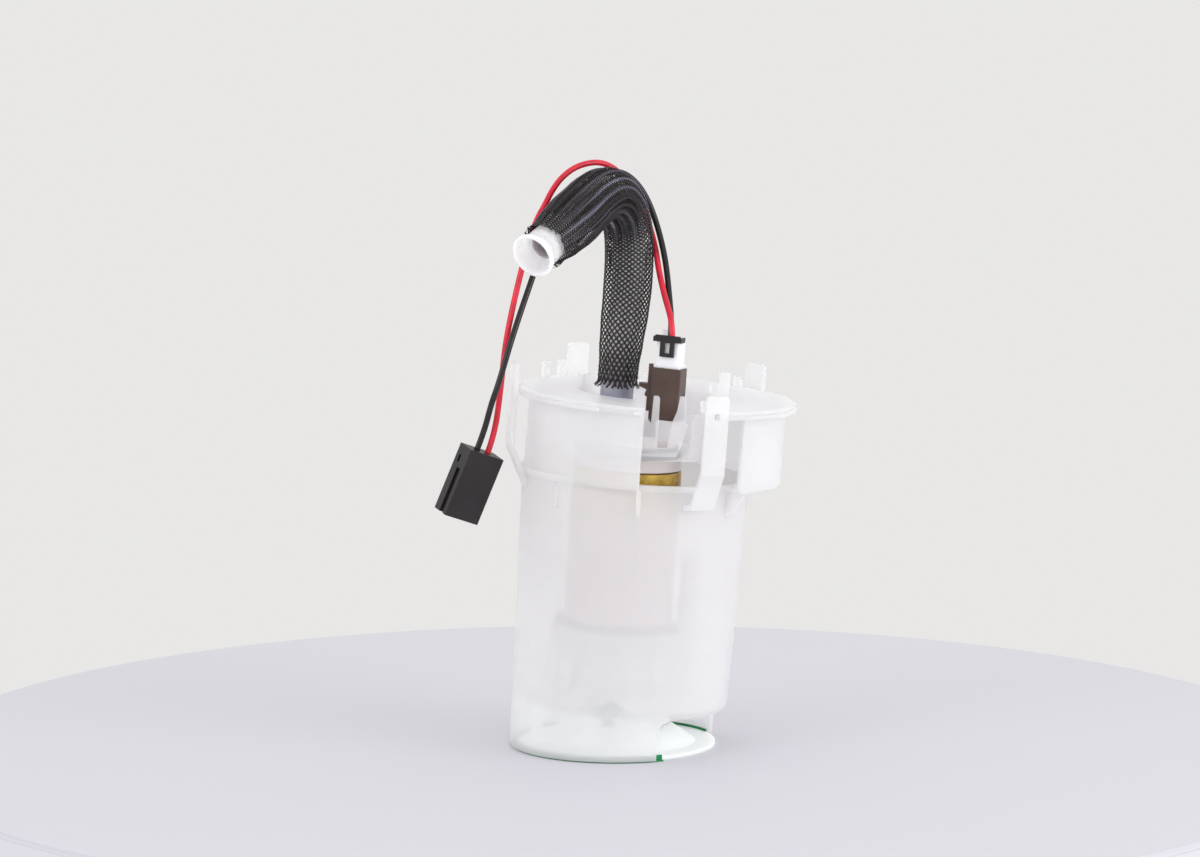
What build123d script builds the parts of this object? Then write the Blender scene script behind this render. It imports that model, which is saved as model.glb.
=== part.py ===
from build123d import *
import math
import os

# In-tank fuel pump module: swirl pot, pump, hose and lead, in millimetres
# Upright parts are drawn about the pot's own axis, then leaned to stand on the pot's slanted foot
# The origin is where the pot's axis meets the floor, +Z is up and -Y faces the window

os.makedirs("parts", exist_ok=True)

# Lean of the pot's axis towards +X, in degrees, and clearances between pieces
lean = 4.1
slip = 0.05
loose = 0.15

# Swirl pot
foot_radius = 42.6
pot_draft = 1.4
pot_wall = 2.0
pot_floor_height = 17.0
pot_floor_thickness = 3.0
rim_bead = 0.9
rim_bead_drop = 1.0
notch_start = -68.7
notch_end = 25.0
notch_corner = 4.0
notch_overrun = 10.0
foot_overrun = 5.0

# Offset collar and flange, which share one centre
collar_at = (6.5, 1.0)
collar_radius = 51.1
collar_wall = 1.8
collar_height = 29.7
shelf_thickness = 1.6
flange_radius = 56.0
flange_thickness = 1.6
opening_start = -96.5
opening_end = -48.7
flange_opening_end = -62.0
slot_azimuth = -107.5
slot_width = 14.0
slot_depth = 3.0

# Snap arms that lock the module in the tank: azimuth about the collar's centre and rise above the flange
snap_arms = [(46.9, 12.8), (124.1, 15.8), (192.0, 13.1), (-67.8, 9.8)]
arm_radius = 59.4
arm_thickness = 1.8
arm_width = 9.6
arm_bend_rise = 8.5
arm_root_drop = 6.5
arm_root_swell = 0.6
arm_root_throat = 0.4
arm_bend_step = 0.8
arm_tip_radius = 1.92
arm_window_rise = 0.4
arm_window = 2.4

# Gussets under the shelf
gusset_azimuths = [-96.5, -43.0, 15.0, 85.0, 160.0, 222.0]
gusset_thickness = 1.5
gusset_height = 11.0

# Base disc, its dished filter foot and its seal
base_radius = 39.6
base_thickness = 1.6
base_cone_radius = 31.0
base_crown_radius = 21.0
base_crown_height = 8.4
base_intakes = 12
base_intake_radius = 1.6
base_post_radius = 2.4
base_post_circle = 33.0
base_post_azimuths = [80.0, 165.0, 250.0]
seal_lip_radius = 41.6
seal_lip_height = 0.5
seal_height = 2.4
seal_thickness = 0.6
seal_end = -63.5

# Pump and its place in the pot
pump_at = (-3.3, 0.0)
can_radius = 21.5
can_wall = 1.2
pump_clearance = 21.0
can_lip = 1.2
can_lip_reach = 1.7
crimp_chamfer = 0.5

# Rubber mounts and the cradle moulded on the pot's floor
cradle_wall = 1.8
cradle_reach = 7.0
cradle_root = 0.5
cradle_sill = 2.0
ledge_clearance = 1.5
cradle_windows = 4
cradle_window_width = 13.0
cradle_window_drop = 6.0
mount_lower_wall = 3.0
mount_lower_reach = 9.0
mount_lip = 2.0
mount_lip_radius = 17.5
mount_upper_wall = 1.3
mount_upper_lip = 1.0
mount_upper_reach = 3.0

# Foot valve and jet pump on the pot's floor, and the intake under the strainer
foot_valve_at = (-4.0, -34.0)
foot_valve_radius = 5.5
foot_port_radius = 1.3
foot_port_circle = 3.4
valve_rod_radius = 1.2
valve_keeper_radius = 2.4
valve_keeper_gap = 2.0
valve_keeper_thickness = 1.8
jet_at = (25.0, 22.0)
jet_base_radius = 5.6
jet_base_height = 8.0
jet_tube_radius = 3.4
jet_tube_bore = 2.3
jet_tube_length = 54.0
jet_nozzle_radius = 2.6
jet_nozzle_bore = 1.0
jet_nozzle_length = 7.0
intake_radius = 8.0

# Strainer under the pump's inlet
strainer_radius = 17.0
strainer_ring = 1.4
strainer_drop = 8.0
strainer_post_radius = 1.0
strainer_posts = 6
mesh_thickness = 0.4

# Turbine stage
inlet_offset = 11.0
inlet_outer_radius = 4.6
inlet_bore_radius = 3.2
inlet_overlap = 1.2
inlet_cover_thickness = 6.8
impeller_thickness = 3.0
impeller_radius = 16.0
impeller_gap = 0.15
vane_count = 28
vane_depth = 3.0
vane_gap = 1.4
pump_plate_thickness = 5.6

# Rotor
shaft_radius = 2.5
shaft_reach = 3.0
core_radius = 14.6
core_gap = 5.05
core_length = 30.0
core_slots = 8
core_slot_width = 4.4
core_slot_floor = 7.4
tooth_opening = 2.2
winding_overhang = 3.6
winding_radius = 13.4
commutator_radius = 9.6
commutator_gap = 4.5
commutator_length = 3.5
commutator_slit = 0.5
bearing_wall = 2.4
bearing_length = 5.0
pad_thickness = 1.5

# Field magnets
air_gap = 0.6
magnet_angle = 132.0
magnet_overhang = 3.0
clip_thickness = 0.8
clip_angle = 30.0

# End cap
cap_gap = 1.0
cap_groove = 0.5
cap_depth = 10.0
cap_skirt_height = 5.5
cap_radius = 18.0
cap_height = 4.5
bearing_inset = 1.0
brush_offset = 7.0
brush_width = 4.0
brush_length = 7.0
brush_gap = 0.05
brush_roof = 1.6
brush_spring_radius = 1.5
brush_spring_wire = 0.22

# Outlet with its check valve
outlet_at = (-9.9, 2.0)
outlet_radius = 3.8
outlet_barb = 0.35
barb_length = 1.5
outlet_height = 13.0
outlet_bore = 2.8
outlet_passage = 1.6
valve_seat_depth = 3.0
valve_head = 1.6
valve_head_radius = 2.4
valve_stem_radius = 0.7
valve_stem_length = 11.6
guide_depth = 7.0
guide_thickness = 1.5
valve_spring_radius = 1.6
valve_spring_wire = 0.25

# Relief valve
relief_offset = 12.0
relief_bore = 2.05
relief_passage = 1.2
relief_depth = 10.0
relief_ball = 1.8
relief_boss_radius = 3.6
relief_boss_height = 2.0
relief_plug_length = 2.6
relief_spring_radius = 1.35
relief_spring_wire = 0.22
hex_key = 1.8

# Terminals, brown socket, white plug and black lock
terminals_at = (2.0, -10.0)
tower_width = 9.0
tower_depth = 5.0
tower_height = 4.0
blade_width = 3.0
blade_thickness = 0.8
blade_pitch = 4.6
blade_depth = 7.0
blade_reach = 5.0
socket_at = (10.0, -12.5)
socket_yaw = -20.0
socket_width = 12.2
socket_depth = 8.8
socket_rise = 7.5
socket_height = 20.5
socket_wall = 0.9
socket_floor_thickness = 3.5
socket_rib = 2.0
bracket_height = 6.0
bracket_reach = 6.4
bracket_thickness = 1.3
bracket_drop = 6.5
plug_width = 9.6
plug_depth = 7.4
plug_shoulder = 0.7
plug_height = 11.4
plug_tab_height = 3.2
plug_tab_width = 2.6
plug_tab_thickness = 0.9
lock_width = 10.2
lock_thickness = 1.5
lock_overlap = 0.8
lock_height = 2.6
lock_loop_width = 5.6
lock_loop_height = 5.9
lock_window_width = 2.3

# Clear holder plate with its well, fork and posts
holder_radius = 54.5
holder_thickness = 1.4
spigot_wall = 1.5
spigot_depth = 4.0
well_at = (1.6, 0.0)
well_radius = 27.0
well_wall = 1.8
well_depth = 20.6
well_floor_thickness = 1.6
well_back_height = 4.05
well_back_start = 22.0
well_back_end = 158.0
window_start = -92.5
window_end = -49.0
window_left = 0.6
window_right = 22.9
tab_inset = 4.5
tab_circle = holder_radius - tab_inset
tab_thickness = 1.8
tab_width = 3.8
tabs = [(141.0, 7.25), (154.7, 7.25), (48.9, 4.25)]
post_offset = 2.1
post_at = (well_at[0] + well_radius + well_wall + post_offset, 4.0)
post_width = 4.6
post_height = 9.75

# Fork cut from the well's wall, as pairs of distance from the pot's axis and height above the well's floor
fork_outline = [
    (0.1, 0.0), (14.6, 0.0), (18.8, 14.0), (17.8, 16.0), (17.2, 25.8), (14.8, 25.8), (14.0, 20.0),
    (12.4, 15.6), (10.9, 5.4), (7.2, 5.4), (6.9, 24.8), (6.2, 25.8), (4.4, 25.8), (4.0, 15.0), (0.9, 18.0),
    (0.1, 16.4),
]

# Hose, sleeve and fitting
hose_radius = 6.65
hose_bore = 4.25
hose_lift = 2.0
hose_straight = 12.0
sleeve_radius = 8.9
sleeve_bore = 7.75
sleeve_lift = 0.75
clip_lift = 2.0
clip_height = 5.0
hose_clip_wall = 0.8
fitting_cuff = 22.0
hose_end_depth = 14.5
fitting_neck_radius = 7.45
fitting_mouth_radius = 9.0
fitting_flare = 5.0
fitting_cup_depth = 8.0
fitting_cup_radius = 7.8
fitting_throat_radius = 4.8
sleeve_end_depth = 8.0

# Wires and the harness connector
wire_radius = 1.2
wire_hole = 1.45
wire_seat = 3.0
wire_rise = 5.5
wire_drop = 7.0
red_entry = (0.9, -1.7)
black_entry = (-0.9, 1.7)
connector_centre = (-58.0, -19.1, 107.7)
connector_tilt = 22.2
connector_yaw = 27.0
connector_width = 15.3
connector_depth = 10.9
connector_length = 27.8
contact_pitch = 5.0
cavity_size = 3.6
cavity_depth = 20.0
contact_size = 3.1
contact_length = 16.0
contact_wall = 0.4

# Sizes that follow from the ones above
pot_floor_top = pot_floor_height + pot_floor_thickness
can_bottom = pot_floor_top + pump_clearance
can_bore = can_radius - can_wall
can_lip_bore = can_bore - can_lip_reach
strainer_post_circle = strainer_radius - strainer_post_radius - loose
strainer_top = can_bottom - strainer_drop
inlet_bottom = strainer_top - inlet_overlap
mount_lower_radius = can_radius + slip + mount_lower_wall
mount_lower_top = can_bottom + mount_lower_reach
cradle_bore = mount_lower_radius + loose
cradle_ledge = can_bottom - mount_lip
cradle_top = can_bottom + cradle_reach
cradle_window_top = can_bottom - cradle_window_drop
inlet_cover_bottom = can_bottom + can_lip + slip
inlet_cover_top = inlet_cover_bottom + inlet_cover_thickness
impeller_bottom = inlet_cover_top + impeller_gap
impeller_top = impeller_bottom + impeller_thickness
pump_plate_bottom = impeller_top + impeller_gap
pump_plate_top = pump_plate_bottom + pump_plate_thickness
core_bottom = pump_plate_top + core_gap
core_top = core_bottom + core_length
magnet_radius = core_radius + air_gap
magnet_bottom = core_bottom - magnet_overhang
magnet_top = core_top + magnet_overhang
commutator_bottom = core_top + commutator_gap
commutator_top = commutator_bottom + commutator_length
cap_bottom = commutator_top + cap_gap
upper_bearing_bottom = cap_bottom + bearing_inset
shaft_top = upper_bearing_bottom + bearing_length + shaft_reach
can_top = cap_bottom + cap_depth
cap_neck_top = can_top + cap_groove
cap_skirt_top = can_top + cap_skirt_height
cap_top = cap_skirt_top + cap_height
cap_hole = cap_radius + mount_upper_wall + 2 * slip
brush_slot_top = cap_skirt_top - brush_roof
outlet_top = cap_top + outlet_height
valve_seat = cap_top - valve_seat_depth
valve_stem_top = valve_seat + valve_stem_length
guide_bottom = outlet_top - guide_depth
relief_boss_top = cap_top + relief_boss_height
relief_seat = relief_boss_top - relief_depth
tower_top = cap_top + tower_height
blade_bottom = tower_top - blade_depth
blade_top = tower_top + blade_reach
well_floor_height = cap_skirt_top + mount_upper_lip + 2 * slip
flange_height = well_floor_height + well_depth
flange_top = flange_height + flange_thickness
shelf_height = flange_height - collar_height
shelf_top = shelf_height + shelf_thickness
arm_bend_height = shelf_height + arm_bend_rise
arm_root_height = shelf_height - arm_root_drop
holder_bottom = flange_top + slip
holder_top = holder_bottom + holder_thickness
socket_bottom = tower_top + socket_rise
socket_top = socket_bottom + socket_height
socket_floor = socket_bottom + socket_floor_thickness
socket_inner_width = socket_width - 2 * socket_wall
socket_inner_depth = socket_depth - 2 * socket_wall
bracket_top = socket_top - bracket_drop
plug_top = socket_top + plug_height
lock_bottom = plug_top - lock_overlap
lock_top = lock_bottom + lock_height
lock_loop_bottom = lock_bottom - lock_loop_height
hose_start = cap_top + hose_lift
clip_bottom = hose_start + clip_lift
sleeve_start = holder_top + sleeve_lift
stance = Rot(0, lean, 0)


def rod(radius, bottom, top, at=(0, 0)):
    solid = Cylinder(radius, top - bottom, align=(Align.CENTER, Align.CENTER, Align.MIN))
    return Pos(at[0], at[1], bottom) * solid


def tube(outer, inner, bottom, top, at=(0, 0)):
    return rod(outer, bottom, top, at) - rod(inner, bottom, top, at)


def block(width, depth, bottom, top, at=(0, 0)):
    solid = Box(width, depth, top - bottom, align=(Align.CENTER, Align.CENTER, Align.MIN))
    return Pos(at[0], at[1], bottom) * solid


def turned(outline, at=(0, 0)):
    # Solid of revolution about an upright axis, from pairs of radius and height
    edge = Polyline([(radius, 0, height) for radius, height in outline], close=True)
    return Pos(at[0], at[1], 0) * revolve(make_face(edge), Axis.Z)


def upright_plate(outline, thickness):
    # Plate that stands in the XZ plane, from pairs of distance and height
    edge = Polyline([(along, 0, height) for along, height in outline], close=True)
    return extrude(make_face(edge), thickness / 2, both=True)


def compass(radius, azimuth, at=(0, 0)):
    angle = math.radians(azimuth)
    return (at[0] + radius * math.cos(angle), at[1] + radius * math.sin(angle))


def wedge(radius, start, end, bottom, top, at=(0, 0)):
    rim = [compass(radius, azimuth) for azimuth in (start, (start + end) / 2, end)]
    edge = Line((0, 0), rim[0]) + ThreePointArc(*rim) + Line(rim[2], (0, 0))
    return Pos(at[0], at[1], bottom) * extrude(make_face(edge), top - bottom)


def turn_about(at, azimuth, solid):
    return Pos(at[0], at[1], 0) * Rot(0, 0, azimuth) * solid


def coil(radius, wire, bottom, top, turns, at):
    # Compression spring of round wire, its ends level with the seats
    height = top - bottom - 2 * wire
    line = Helix(height / turns, height, radius)
    section = Plane(origin=line @ 0, z_dir=line % 0) * Circle(wire)
    return Pos(at[0], at[1], bottom + wire) * sweep(section, line, is_frenet=True)


def pot_radius(height):
    return foot_radius + height * math.tan(math.radians(pot_draft))


def pot_reach(azimuth):
    # Distance from the collar's centre to the pot's wall under the shelf, along an azimuth
    along = collar_at[0] * compass(1, azimuth)[0] + collar_at[1] * compass(1, azimuth)[1]
    offset = collar_at[0] ** 2 + collar_at[1] ** 2
    return math.sqrt(along ** 2 + pot_radius(shelf_height) ** 2 - offset) - along


def pot_solid(bottom, top, inset):
    low = pot_radius(bottom) - inset
    high = pot_radius(top) - inset
    return turned([(0, bottom), (low, bottom), (high, top), (0, top)])


def snap_arm(azimuth, rise):
    tip = flange_height + rise
    inner_face = arm_radius - arm_thickness
    root = pot_reach(azimuth) - pot_wall / 2
    knee = collar_radius + slip
    outline = [
        (arm_radius, tip), (arm_radius, arm_bend_height), (knee + arm_root_swell, arm_root_height),
        (root, arm_root_height - arm_thickness), (root, arm_root_height + arm_root_swell),
        (knee - arm_root_swell, arm_root_height + arm_thickness + arm_root_throat),
        (inner_face, arm_bend_height + arm_bend_step), (inner_face, tip),
    ]
    arm = upright_plate(outline, arm_width)
    tip_edges = arm.edges().filter_by(Axis.X).group_by(Axis.Z)[-1]
    arm = fillet(tip_edges, arm_tip_radius)
    window_bottom = flange_height + arm_window_rise
    window = block(arm_radius, arm_window, window_bottom, window_bottom + arm_window, (arm_radius, 0))
    rib_outline = [
        (root, arm_root_height), (knee, arm_root_height + arm_thickness),
        (knee, shelf_height + shelf_thickness / 2), (root, shelf_height + shelf_thickness / 2),
    ]
    rib = upright_plate(rib_outline, gusset_thickness)
    return turn_about(collar_at, azimuth, arm - window + rib)


def gusset(azimuth):
    root = pot_reach(azimuth) - pot_wall / 2
    outline = [
        (root, shelf_height - gusset_height), (root + pot_wall, shelf_height - gusset_height),
        (collar_radius, shelf_height), (root, shelf_height),
    ]
    return turn_about(collar_at, azimuth, upright_plate(outline, gusset_thickness))


def make_notch():
    # Cut-out at the foot with round upper corners, over which the pot's own lower edge is rounded too
    reach = foot_radius + notch_overrun
    above = pot_floor_height + notch_corner
    mouth = wedge(reach, notch_start, notch_end, -notch_overrun, pot_floor_height)
    upper_edges = mouth.edges().group_by(Axis.Z)[-1].filter_by(GeomType.LINE)
    mouth = fillet(upper_edges, notch_corner)
    kept = pot_solid(pot_floor_height, above + 1, 0)
    kept = fillet(kept.edges().group_by(Axis.Z)[0], notch_corner)
    inset = math.degrees(notch_corner / foot_radius)
    rounding = wedge(reach, notch_start + inset, notch_end - inset, pot_floor_height - slip, above) - kept
    return mouth + rounding


def make_cradle():
    outer = cradle_bore + cradle_wall
    ring = tube(outer, cradle_bore, pot_floor_top - cradle_root, cradle_top, pump_at)
    ledge_bore = mount_lip_radius + ledge_clearance
    ledge = tube(outer, ledge_bore, cradle_ledge - cradle_wall, cradle_ledge, pump_at)
    cradle = ring + ledge
    for index in range(cradle_windows):
        sill = pot_floor_top + cradle_sill
        window = block(2 * outer, cradle_window_width, sill, cradle_window_top, (outer, 0))
        cradle -= turn_about(pump_at, 45 + 360 / cradle_windows * index, window)
    return cradle


def make_skirt():
    skirt = rod(collar_radius, shelf_height, flange_height, collar_at)
    skirt -= wedge(2 * flange_radius, opening_start, opening_end, shelf_height, flange_top, collar_at)
    flange = rod(flange_radius, flange_height, flange_top, collar_at)
    flange -= wedge(2 * flange_radius, opening_start, flange_opening_end, flange_height, flange_top,
                    collar_at)
    slot = block(2 * slot_depth, slot_width, flange_height, flange_top, (flange_radius, 0))
    return skirt + flange - turn_about(collar_at, slot_azimuth, slot)


def make_reservoir():
    low = -math.tan(math.radians(lean)) * (foot_radius + foot_overrun)
    pot = pot_solid(low, shelf_top, 0)
    pot += rod(pot_radius(shelf_top) + rim_bead, shelf_height - rim_bead_drop, shelf_top)
    pot -= make_notch()
    pot += make_skirt()
    for azimuth, rise in snap_arms:
        pot += snap_arm(azimuth, rise)
    for azimuth in gusset_azimuths:
        pot += gusset(azimuth)
    pot -= pot_solid(pot_floor_top, shelf_top, pot_wall)
    pot -= pot_solid(low, pot_floor_height, pot_wall)
    pot -= rod(collar_radius - collar_wall, shelf_top, flange_top, collar_at)
    pot += make_cradle()
    for azimuth in (0, 90, 180, 270):
        port_at = compass(foot_port_circle, azimuth, foot_valve_at)
        pot -= rod(foot_port_radius, pot_floor_height, pot_floor_top, port_at)
    pot -= rod(valve_rod_radius + loose, pot_floor_height, pot_floor_top, foot_valve_at)
    pot -= rod(jet_nozzle_radius + slip, pot_floor_height, pot_floor_top, jet_at)
    pot -= rod(intake_radius, pot_floor_height, pot_floor_top, pump_at)
    return cut_at_floor(stance * pot, seal_lip_height + slip)


def cut_at_floor(solid, height):
    # Takes away what reaches below a level height above the floor
    size = 4 * flange_radius
    return solid - Pos(0, 0, height - size / 2) * Box(size, size, size)


def make_base_plate():
    low = base_thickness
    crown = base_crown_height
    outline = [
        (0, crown - base_thickness), (base_crown_radius, crown - base_thickness), (base_cone_radius, 0),
        (base_radius, 0), (base_radius, low), (base_cone_radius + 0.8, low),
        (base_crown_radius + 0.8, crown), (0, crown),
    ]
    plate = turned(outline)
    for index in range(base_intakes):
        place = compass(base_crown_radius - 4, 360 / base_intakes * index)
        plate -= rod(base_intake_radius, 0, crown + 1, place)
    posts = Part()
    for azimuth in base_post_azimuths:
        place = compass(base_post_circle, azimuth)
        posts += rod(base_post_radius, -base_crown_height, pot_floor_height - slip, place)
    return plate + cut_at_floor(stance * posts, base_thickness / 2)


def make_base_seal():
    inner = base_radius + loose
    lip = tube(seal_lip_radius, inner, 0, seal_lip_height)
    wall = tube(inner + seal_thickness, inner, 0, seal_height)
    gap = wedge(2 * seal_lip_radius, seal_end, notch_end, 0, seal_height)
    return lip + wall - gap


def make_foot_valve():
    seat = pot_floor_top + slip
    keeper = pot_floor_height - valve_keeper_gap
    outline = [
        (0, keeper - valve_keeper_thickness), (valve_keeper_radius, keeper - valve_keeper_thickness),
        (valve_keeper_radius, keeper), (valve_rod_radius, keeper), (valve_rod_radius, seat),
        (foot_valve_radius, seat), (foot_valve_radius, seat + 0.8), (2.2, seat + 1.7), (1.6, seat + 3.2),
        (0, seat + 3.2),
    ]
    return turned(outline, foot_valve_at)


def make_jet_pump():
    seat = pot_floor_top + slip
    shoulder = seat + jet_base_height
    nozzle = pot_floor_height - jet_nozzle_length
    tube_top = pot_floor_top + jet_tube_length
    outline = [
        (jet_nozzle_bore, nozzle), (jet_nozzle_radius - 0.6, nozzle), (jet_nozzle_radius, seat),
        (jet_base_radius, seat), (jet_base_radius, seat + 3), (jet_tube_radius, shoulder),
        (jet_tube_radius, tube_top), (jet_tube_bore, tube_top), (jet_tube_bore, shoulder),
        (jet_nozzle_bore, seat + 2),
    ]
    return turned(outline, jet_at)


def make_strainer():
    seat = pot_floor_top + slip
    ring = tube(strainer_radius, strainer_radius - 2 * strainer_ring, seat, seat + strainer_ring, pump_at)
    top = rod(strainer_radius, strainer_top - strainer_ring, strainer_top, pump_at)
    inlet = (pump_at[0], pump_at[1] + inlet_offset)
    frame = ring + top - rod(inlet_outer_radius + slip, inlet_bottom, strainer_top, inlet)
    for index in range(strainer_posts):
        place = compass(strainer_post_circle, 360 / strainer_posts * index, pump_at)
        frame += rod(strainer_post_radius, seat + strainer_ring / 2, strainer_top - strainer_ring / 2, place)
    return frame


def make_strainer_mesh():
    outer = strainer_post_circle - strainer_post_radius - slip
    bottom = pot_floor_top + slip
    top = strainer_top - strainer_ring - slip
    return tube(outer, outer - mesh_thickness, bottom + strainer_ring, top, pump_at)


def make_lower_mount():
    bore = can_radius + slip
    outline = [
        (mount_lip_radius, cradle_ledge + slip), (mount_lower_radius, cradle_ledge + slip),
        (mount_lower_radius, mount_lower_top), (bore, mount_lower_top), (bore, can_bottom - slip),
        (mount_lip_radius, can_bottom - slip),
    ]
    return turned(outline, pump_at)


def make_upper_mount():
    bore = cap_radius + slip
    lip_radius = cap_radius + mount_upper_reach
    outline = [
        (bore, cap_skirt_top + slip), (lip_radius, cap_skirt_top + slip),
        (lip_radius, well_floor_height - slip), (cap_hole - slip, well_floor_height - slip),
        (cap_hole - slip, cap_top - 0.5), (bore, cap_top - 0.5),
    ]
    return turned(outline, pump_at)


def make_can():
    c = crimp_chamfer
    outline = [
        (can_lip_bore, can_bottom), (can_radius - c, can_bottom), (can_radius, can_bottom + c),
        (can_radius, can_top - c), (can_radius - c, can_top), (can_lip_bore, can_top),
        (can_lip_bore, can_top - can_lip), (can_bore, can_top - can_lip),
        (can_bore, can_bottom + can_lip), (can_lip_bore, can_bottom + can_lip),
    ]
    return turned(outline, pump_at)


def make_inlet_cover():
    inlet = (pump_at[0], pump_at[1] + inlet_offset)
    cover = rod(can_bore - loose, inlet_cover_bottom, inlet_cover_top, pump_at)
    cover += rod(inlet_outer_radius, inlet_bottom, inlet_cover_bottom, inlet)
    cover -= rod(inlet_bore_radius, inlet_bottom, inlet_cover_top, inlet)
    pocket = shaft_radius + 0.5 + slip
    return cover - rod(pocket, inlet_cover_top - pad_thickness, inlet_cover_top, pump_at)


def make_thrust_pad():
    top = inlet_cover_top + impeller_gap - slip
    return rod(shaft_radius + 0.5, inlet_cover_top - pad_thickness + slip, top - slip, pump_at)


def make_impeller():
    wheel = rod(impeller_radius, impeller_bottom, impeller_top, pump_at)
    wheel -= rod(shaft_radius + slip, impeller_bottom, impeller_top, pump_at)
    for index in range(vane_count):
        gap_at = (impeller_radius - vane_depth / 4, 0)
        gap = block(vane_depth, vane_gap, impeller_bottom, impeller_top, gap_at)
        wheel -= turn_about(pump_at, 360 / vane_count * index, gap)
    return wheel


def make_pump_plate():
    ring = tube(can_bore - loose, impeller_radius + 0.3, inlet_cover_top + slip, pump_plate_bottom, pump_at)
    plate = rod(can_bore - loose, pump_plate_bottom, pump_plate_top, pump_at)
    plate += ring
    seat = pump_plate_top - bearing_length
    plate -= rod(shaft_radius + bearing_wall + slip, seat, pump_plate_top, pump_at)
    plate -= rod(shaft_radius + 3 * slip, pump_plate_bottom, seat, pump_at)
    outlet = (pump_at[0], pump_at[1] - inlet_offset)
    return plate - rod(inlet_bore_radius - 0.6, pump_plate_bottom, pump_plate_top, outlet)


def make_bearing(bottom, top):
    outer = shaft_radius + bearing_wall
    return tube(outer, shaft_radius + slip, bottom, top, pump_at)


def make_shaft():
    bottom = inlet_cover_top + impeller_gap
    shaft = rod(shaft_radius, bottom, shaft_top, pump_at)
    return chamfer(shaft.edges().filter_by(GeomType.CIRCLE), 0.3)


def core_slot(width, inner, outer, bottom, top):
    length = outer - inner
    return block(length, width, bottom, top, ((inner + outer) / 2, 0))


def make_armature_core():
    core = tube(core_radius, shaft_radius + slip, core_bottom, core_top, pump_at)
    for index in range(core_slots):
        pocket = core_slot(core_slot_width, core_slot_floor, winding_radius, core_bottom, core_top)
        mouth = core_slot(tooth_opening, winding_radius, core_radius + 1, core_bottom, core_top)
        core -= turn_about(pump_at, 360 / core_slots * index, pocket + mouth)
    return core


def make_armature_winding():
    inner = core_slot_floor + loose
    outer = winding_radius - loose
    low = tube(outer, inner, core_bottom - winding_overhang, core_bottom - slip, pump_at)
    high = tube(outer, inner, core_top + slip, core_top + winding_overhang, pump_at)
    winding = low + high
    for index in range(core_slots):
        bar = core_slot(core_slot_width - 2 * loose, inner, outer - 0.3, core_bottom - 1, core_top + 1)
        winding += turn_about(pump_at, 360 / core_slots * index, bar)
    return winding


def make_commutator():
    hub = tube(shaft_radius + bearing_wall, shaft_radius + slip, core_top + slip, commutator_bottom, pump_at)
    face = tube(commutator_radius, shaft_radius + slip, commutator_bottom, commutator_top, pump_at)
    for index in range(core_slots):
        slit = core_slot(commutator_slit, shaft_radius + bearing_wall, commutator_radius + 1,
                         commutator_top - 1, commutator_top)
        face -= turn_about(pump_at, 360 / core_slots * (index + 0.5), slit)
    return hub + face


def arc_shell(outer, inner, arc, middle, bottom, top):
    ring = tube(outer, inner, bottom, top)
    sector = wedge(2 * outer, middle - arc / 2, middle + arc / 2, bottom, top)
    return Pos(pump_at[0], pump_at[1], 0) * (ring & sector)


def make_magnets():
    outer = can_bore - slip
    right = arc_shell(outer, magnet_radius, magnet_angle, 0, magnet_bottom, magnet_top)
    return right + arc_shell(outer, magnet_radius, magnet_angle, 180, magnet_bottom, magnet_top)


def make_magnet_clips():
    outer = can_bore - slip
    inner = outer - clip_thickness
    front = arc_shell(outer, inner, clip_angle, 270, magnet_bottom, magnet_top)
    return front + arc_shell(outer, inner, clip_angle, 90, magnet_bottom, magnet_top)


def at_pump(x, y):
    return (pump_at[0] + x, pump_at[1] + y)


def make_end_cap():
    neck = can_lip_bore - slip
    cap = rod(can_bore - loose, cap_bottom, can_top - can_lip - slip, pump_at)
    cap += rod(neck, cap_bottom, cap_neck_top, pump_at)
    cap += rod(can_radius - 0.2, cap_neck_top, cap_skirt_top, pump_at)
    cap += rod(cap_radius, cap_skirt_top, cap_top, pump_at)
    cap += rod(relief_boss_radius, cap_top, relief_boss_top, at_pump(0, relief_offset))
    cap += block(tower_width, tower_depth, cap_top, tower_top, terminals_at)
    cap += rod(outlet_radius, cap_top, outlet_top, outlet_at)
    for height in (cap_top + 5, cap_top + 9):
        low = height - barb_length
        barb = [(outlet_radius, low), (outlet_radius + outlet_barb, low), (outlet_radius, height)]
        cap += turned(barb, outlet_at)
    bearing_seat_top = upper_bearing_bottom + bearing_length + slip
    cap -= rod(shaft_radius + bearing_wall + slip, cap_bottom, bearing_seat_top, pump_at)
    cap -= rod(shaft_radius + 0.4, cap_bottom, shaft_top + 0.6, pump_at)
    for side in (-1, 1):
        size = brush_width + 2 * loose
        cap -= block(size, size, cap_bottom, brush_slot_top, at_pump(0, side * brush_offset))
    cap -= rod(outlet_passage, cap_bottom, valve_seat, outlet_at)
    cap -= rod(outlet_bore, valve_seat, outlet_top, outlet_at)
    cap -= rod(relief_passage, cap_bottom, relief_seat, at_pump(0, relief_offset))
    cap -= rod(relief_bore, relief_seat, relief_boss_top, at_pump(0, relief_offset))
    for side in (-1, 1):
        place = (terminals_at[0] + side * blade_pitch / 2, terminals_at[1])
        cap -= block(blade_thickness + 2 * slip, blade_width + 2 * slip, blade_bottom, tower_top, place)
    return cap


def make_brush(side):
    bottom = commutator_top + brush_gap
    return block(brush_width, brush_width, bottom, bottom + brush_length, at_pump(0, side * brush_offset))


def make_brush_spring(side):
    bottom = commutator_top + brush_gap + brush_length + slip
    place = at_pump(0, side * brush_offset)
    return coil(brush_spring_radius, brush_spring_wire, bottom, brush_slot_top - slip, 5, place)


def make_check_valve():
    seat = valve_seat + slip
    outline = [
        (0, seat), (valve_head_radius, seat), (valve_head_radius, seat + 0.7),
        (valve_stem_radius, seat + valve_head), (valve_stem_radius, valve_stem_top), (0, valve_stem_top),
    ]
    return turned(outline, outlet_at)


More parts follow.
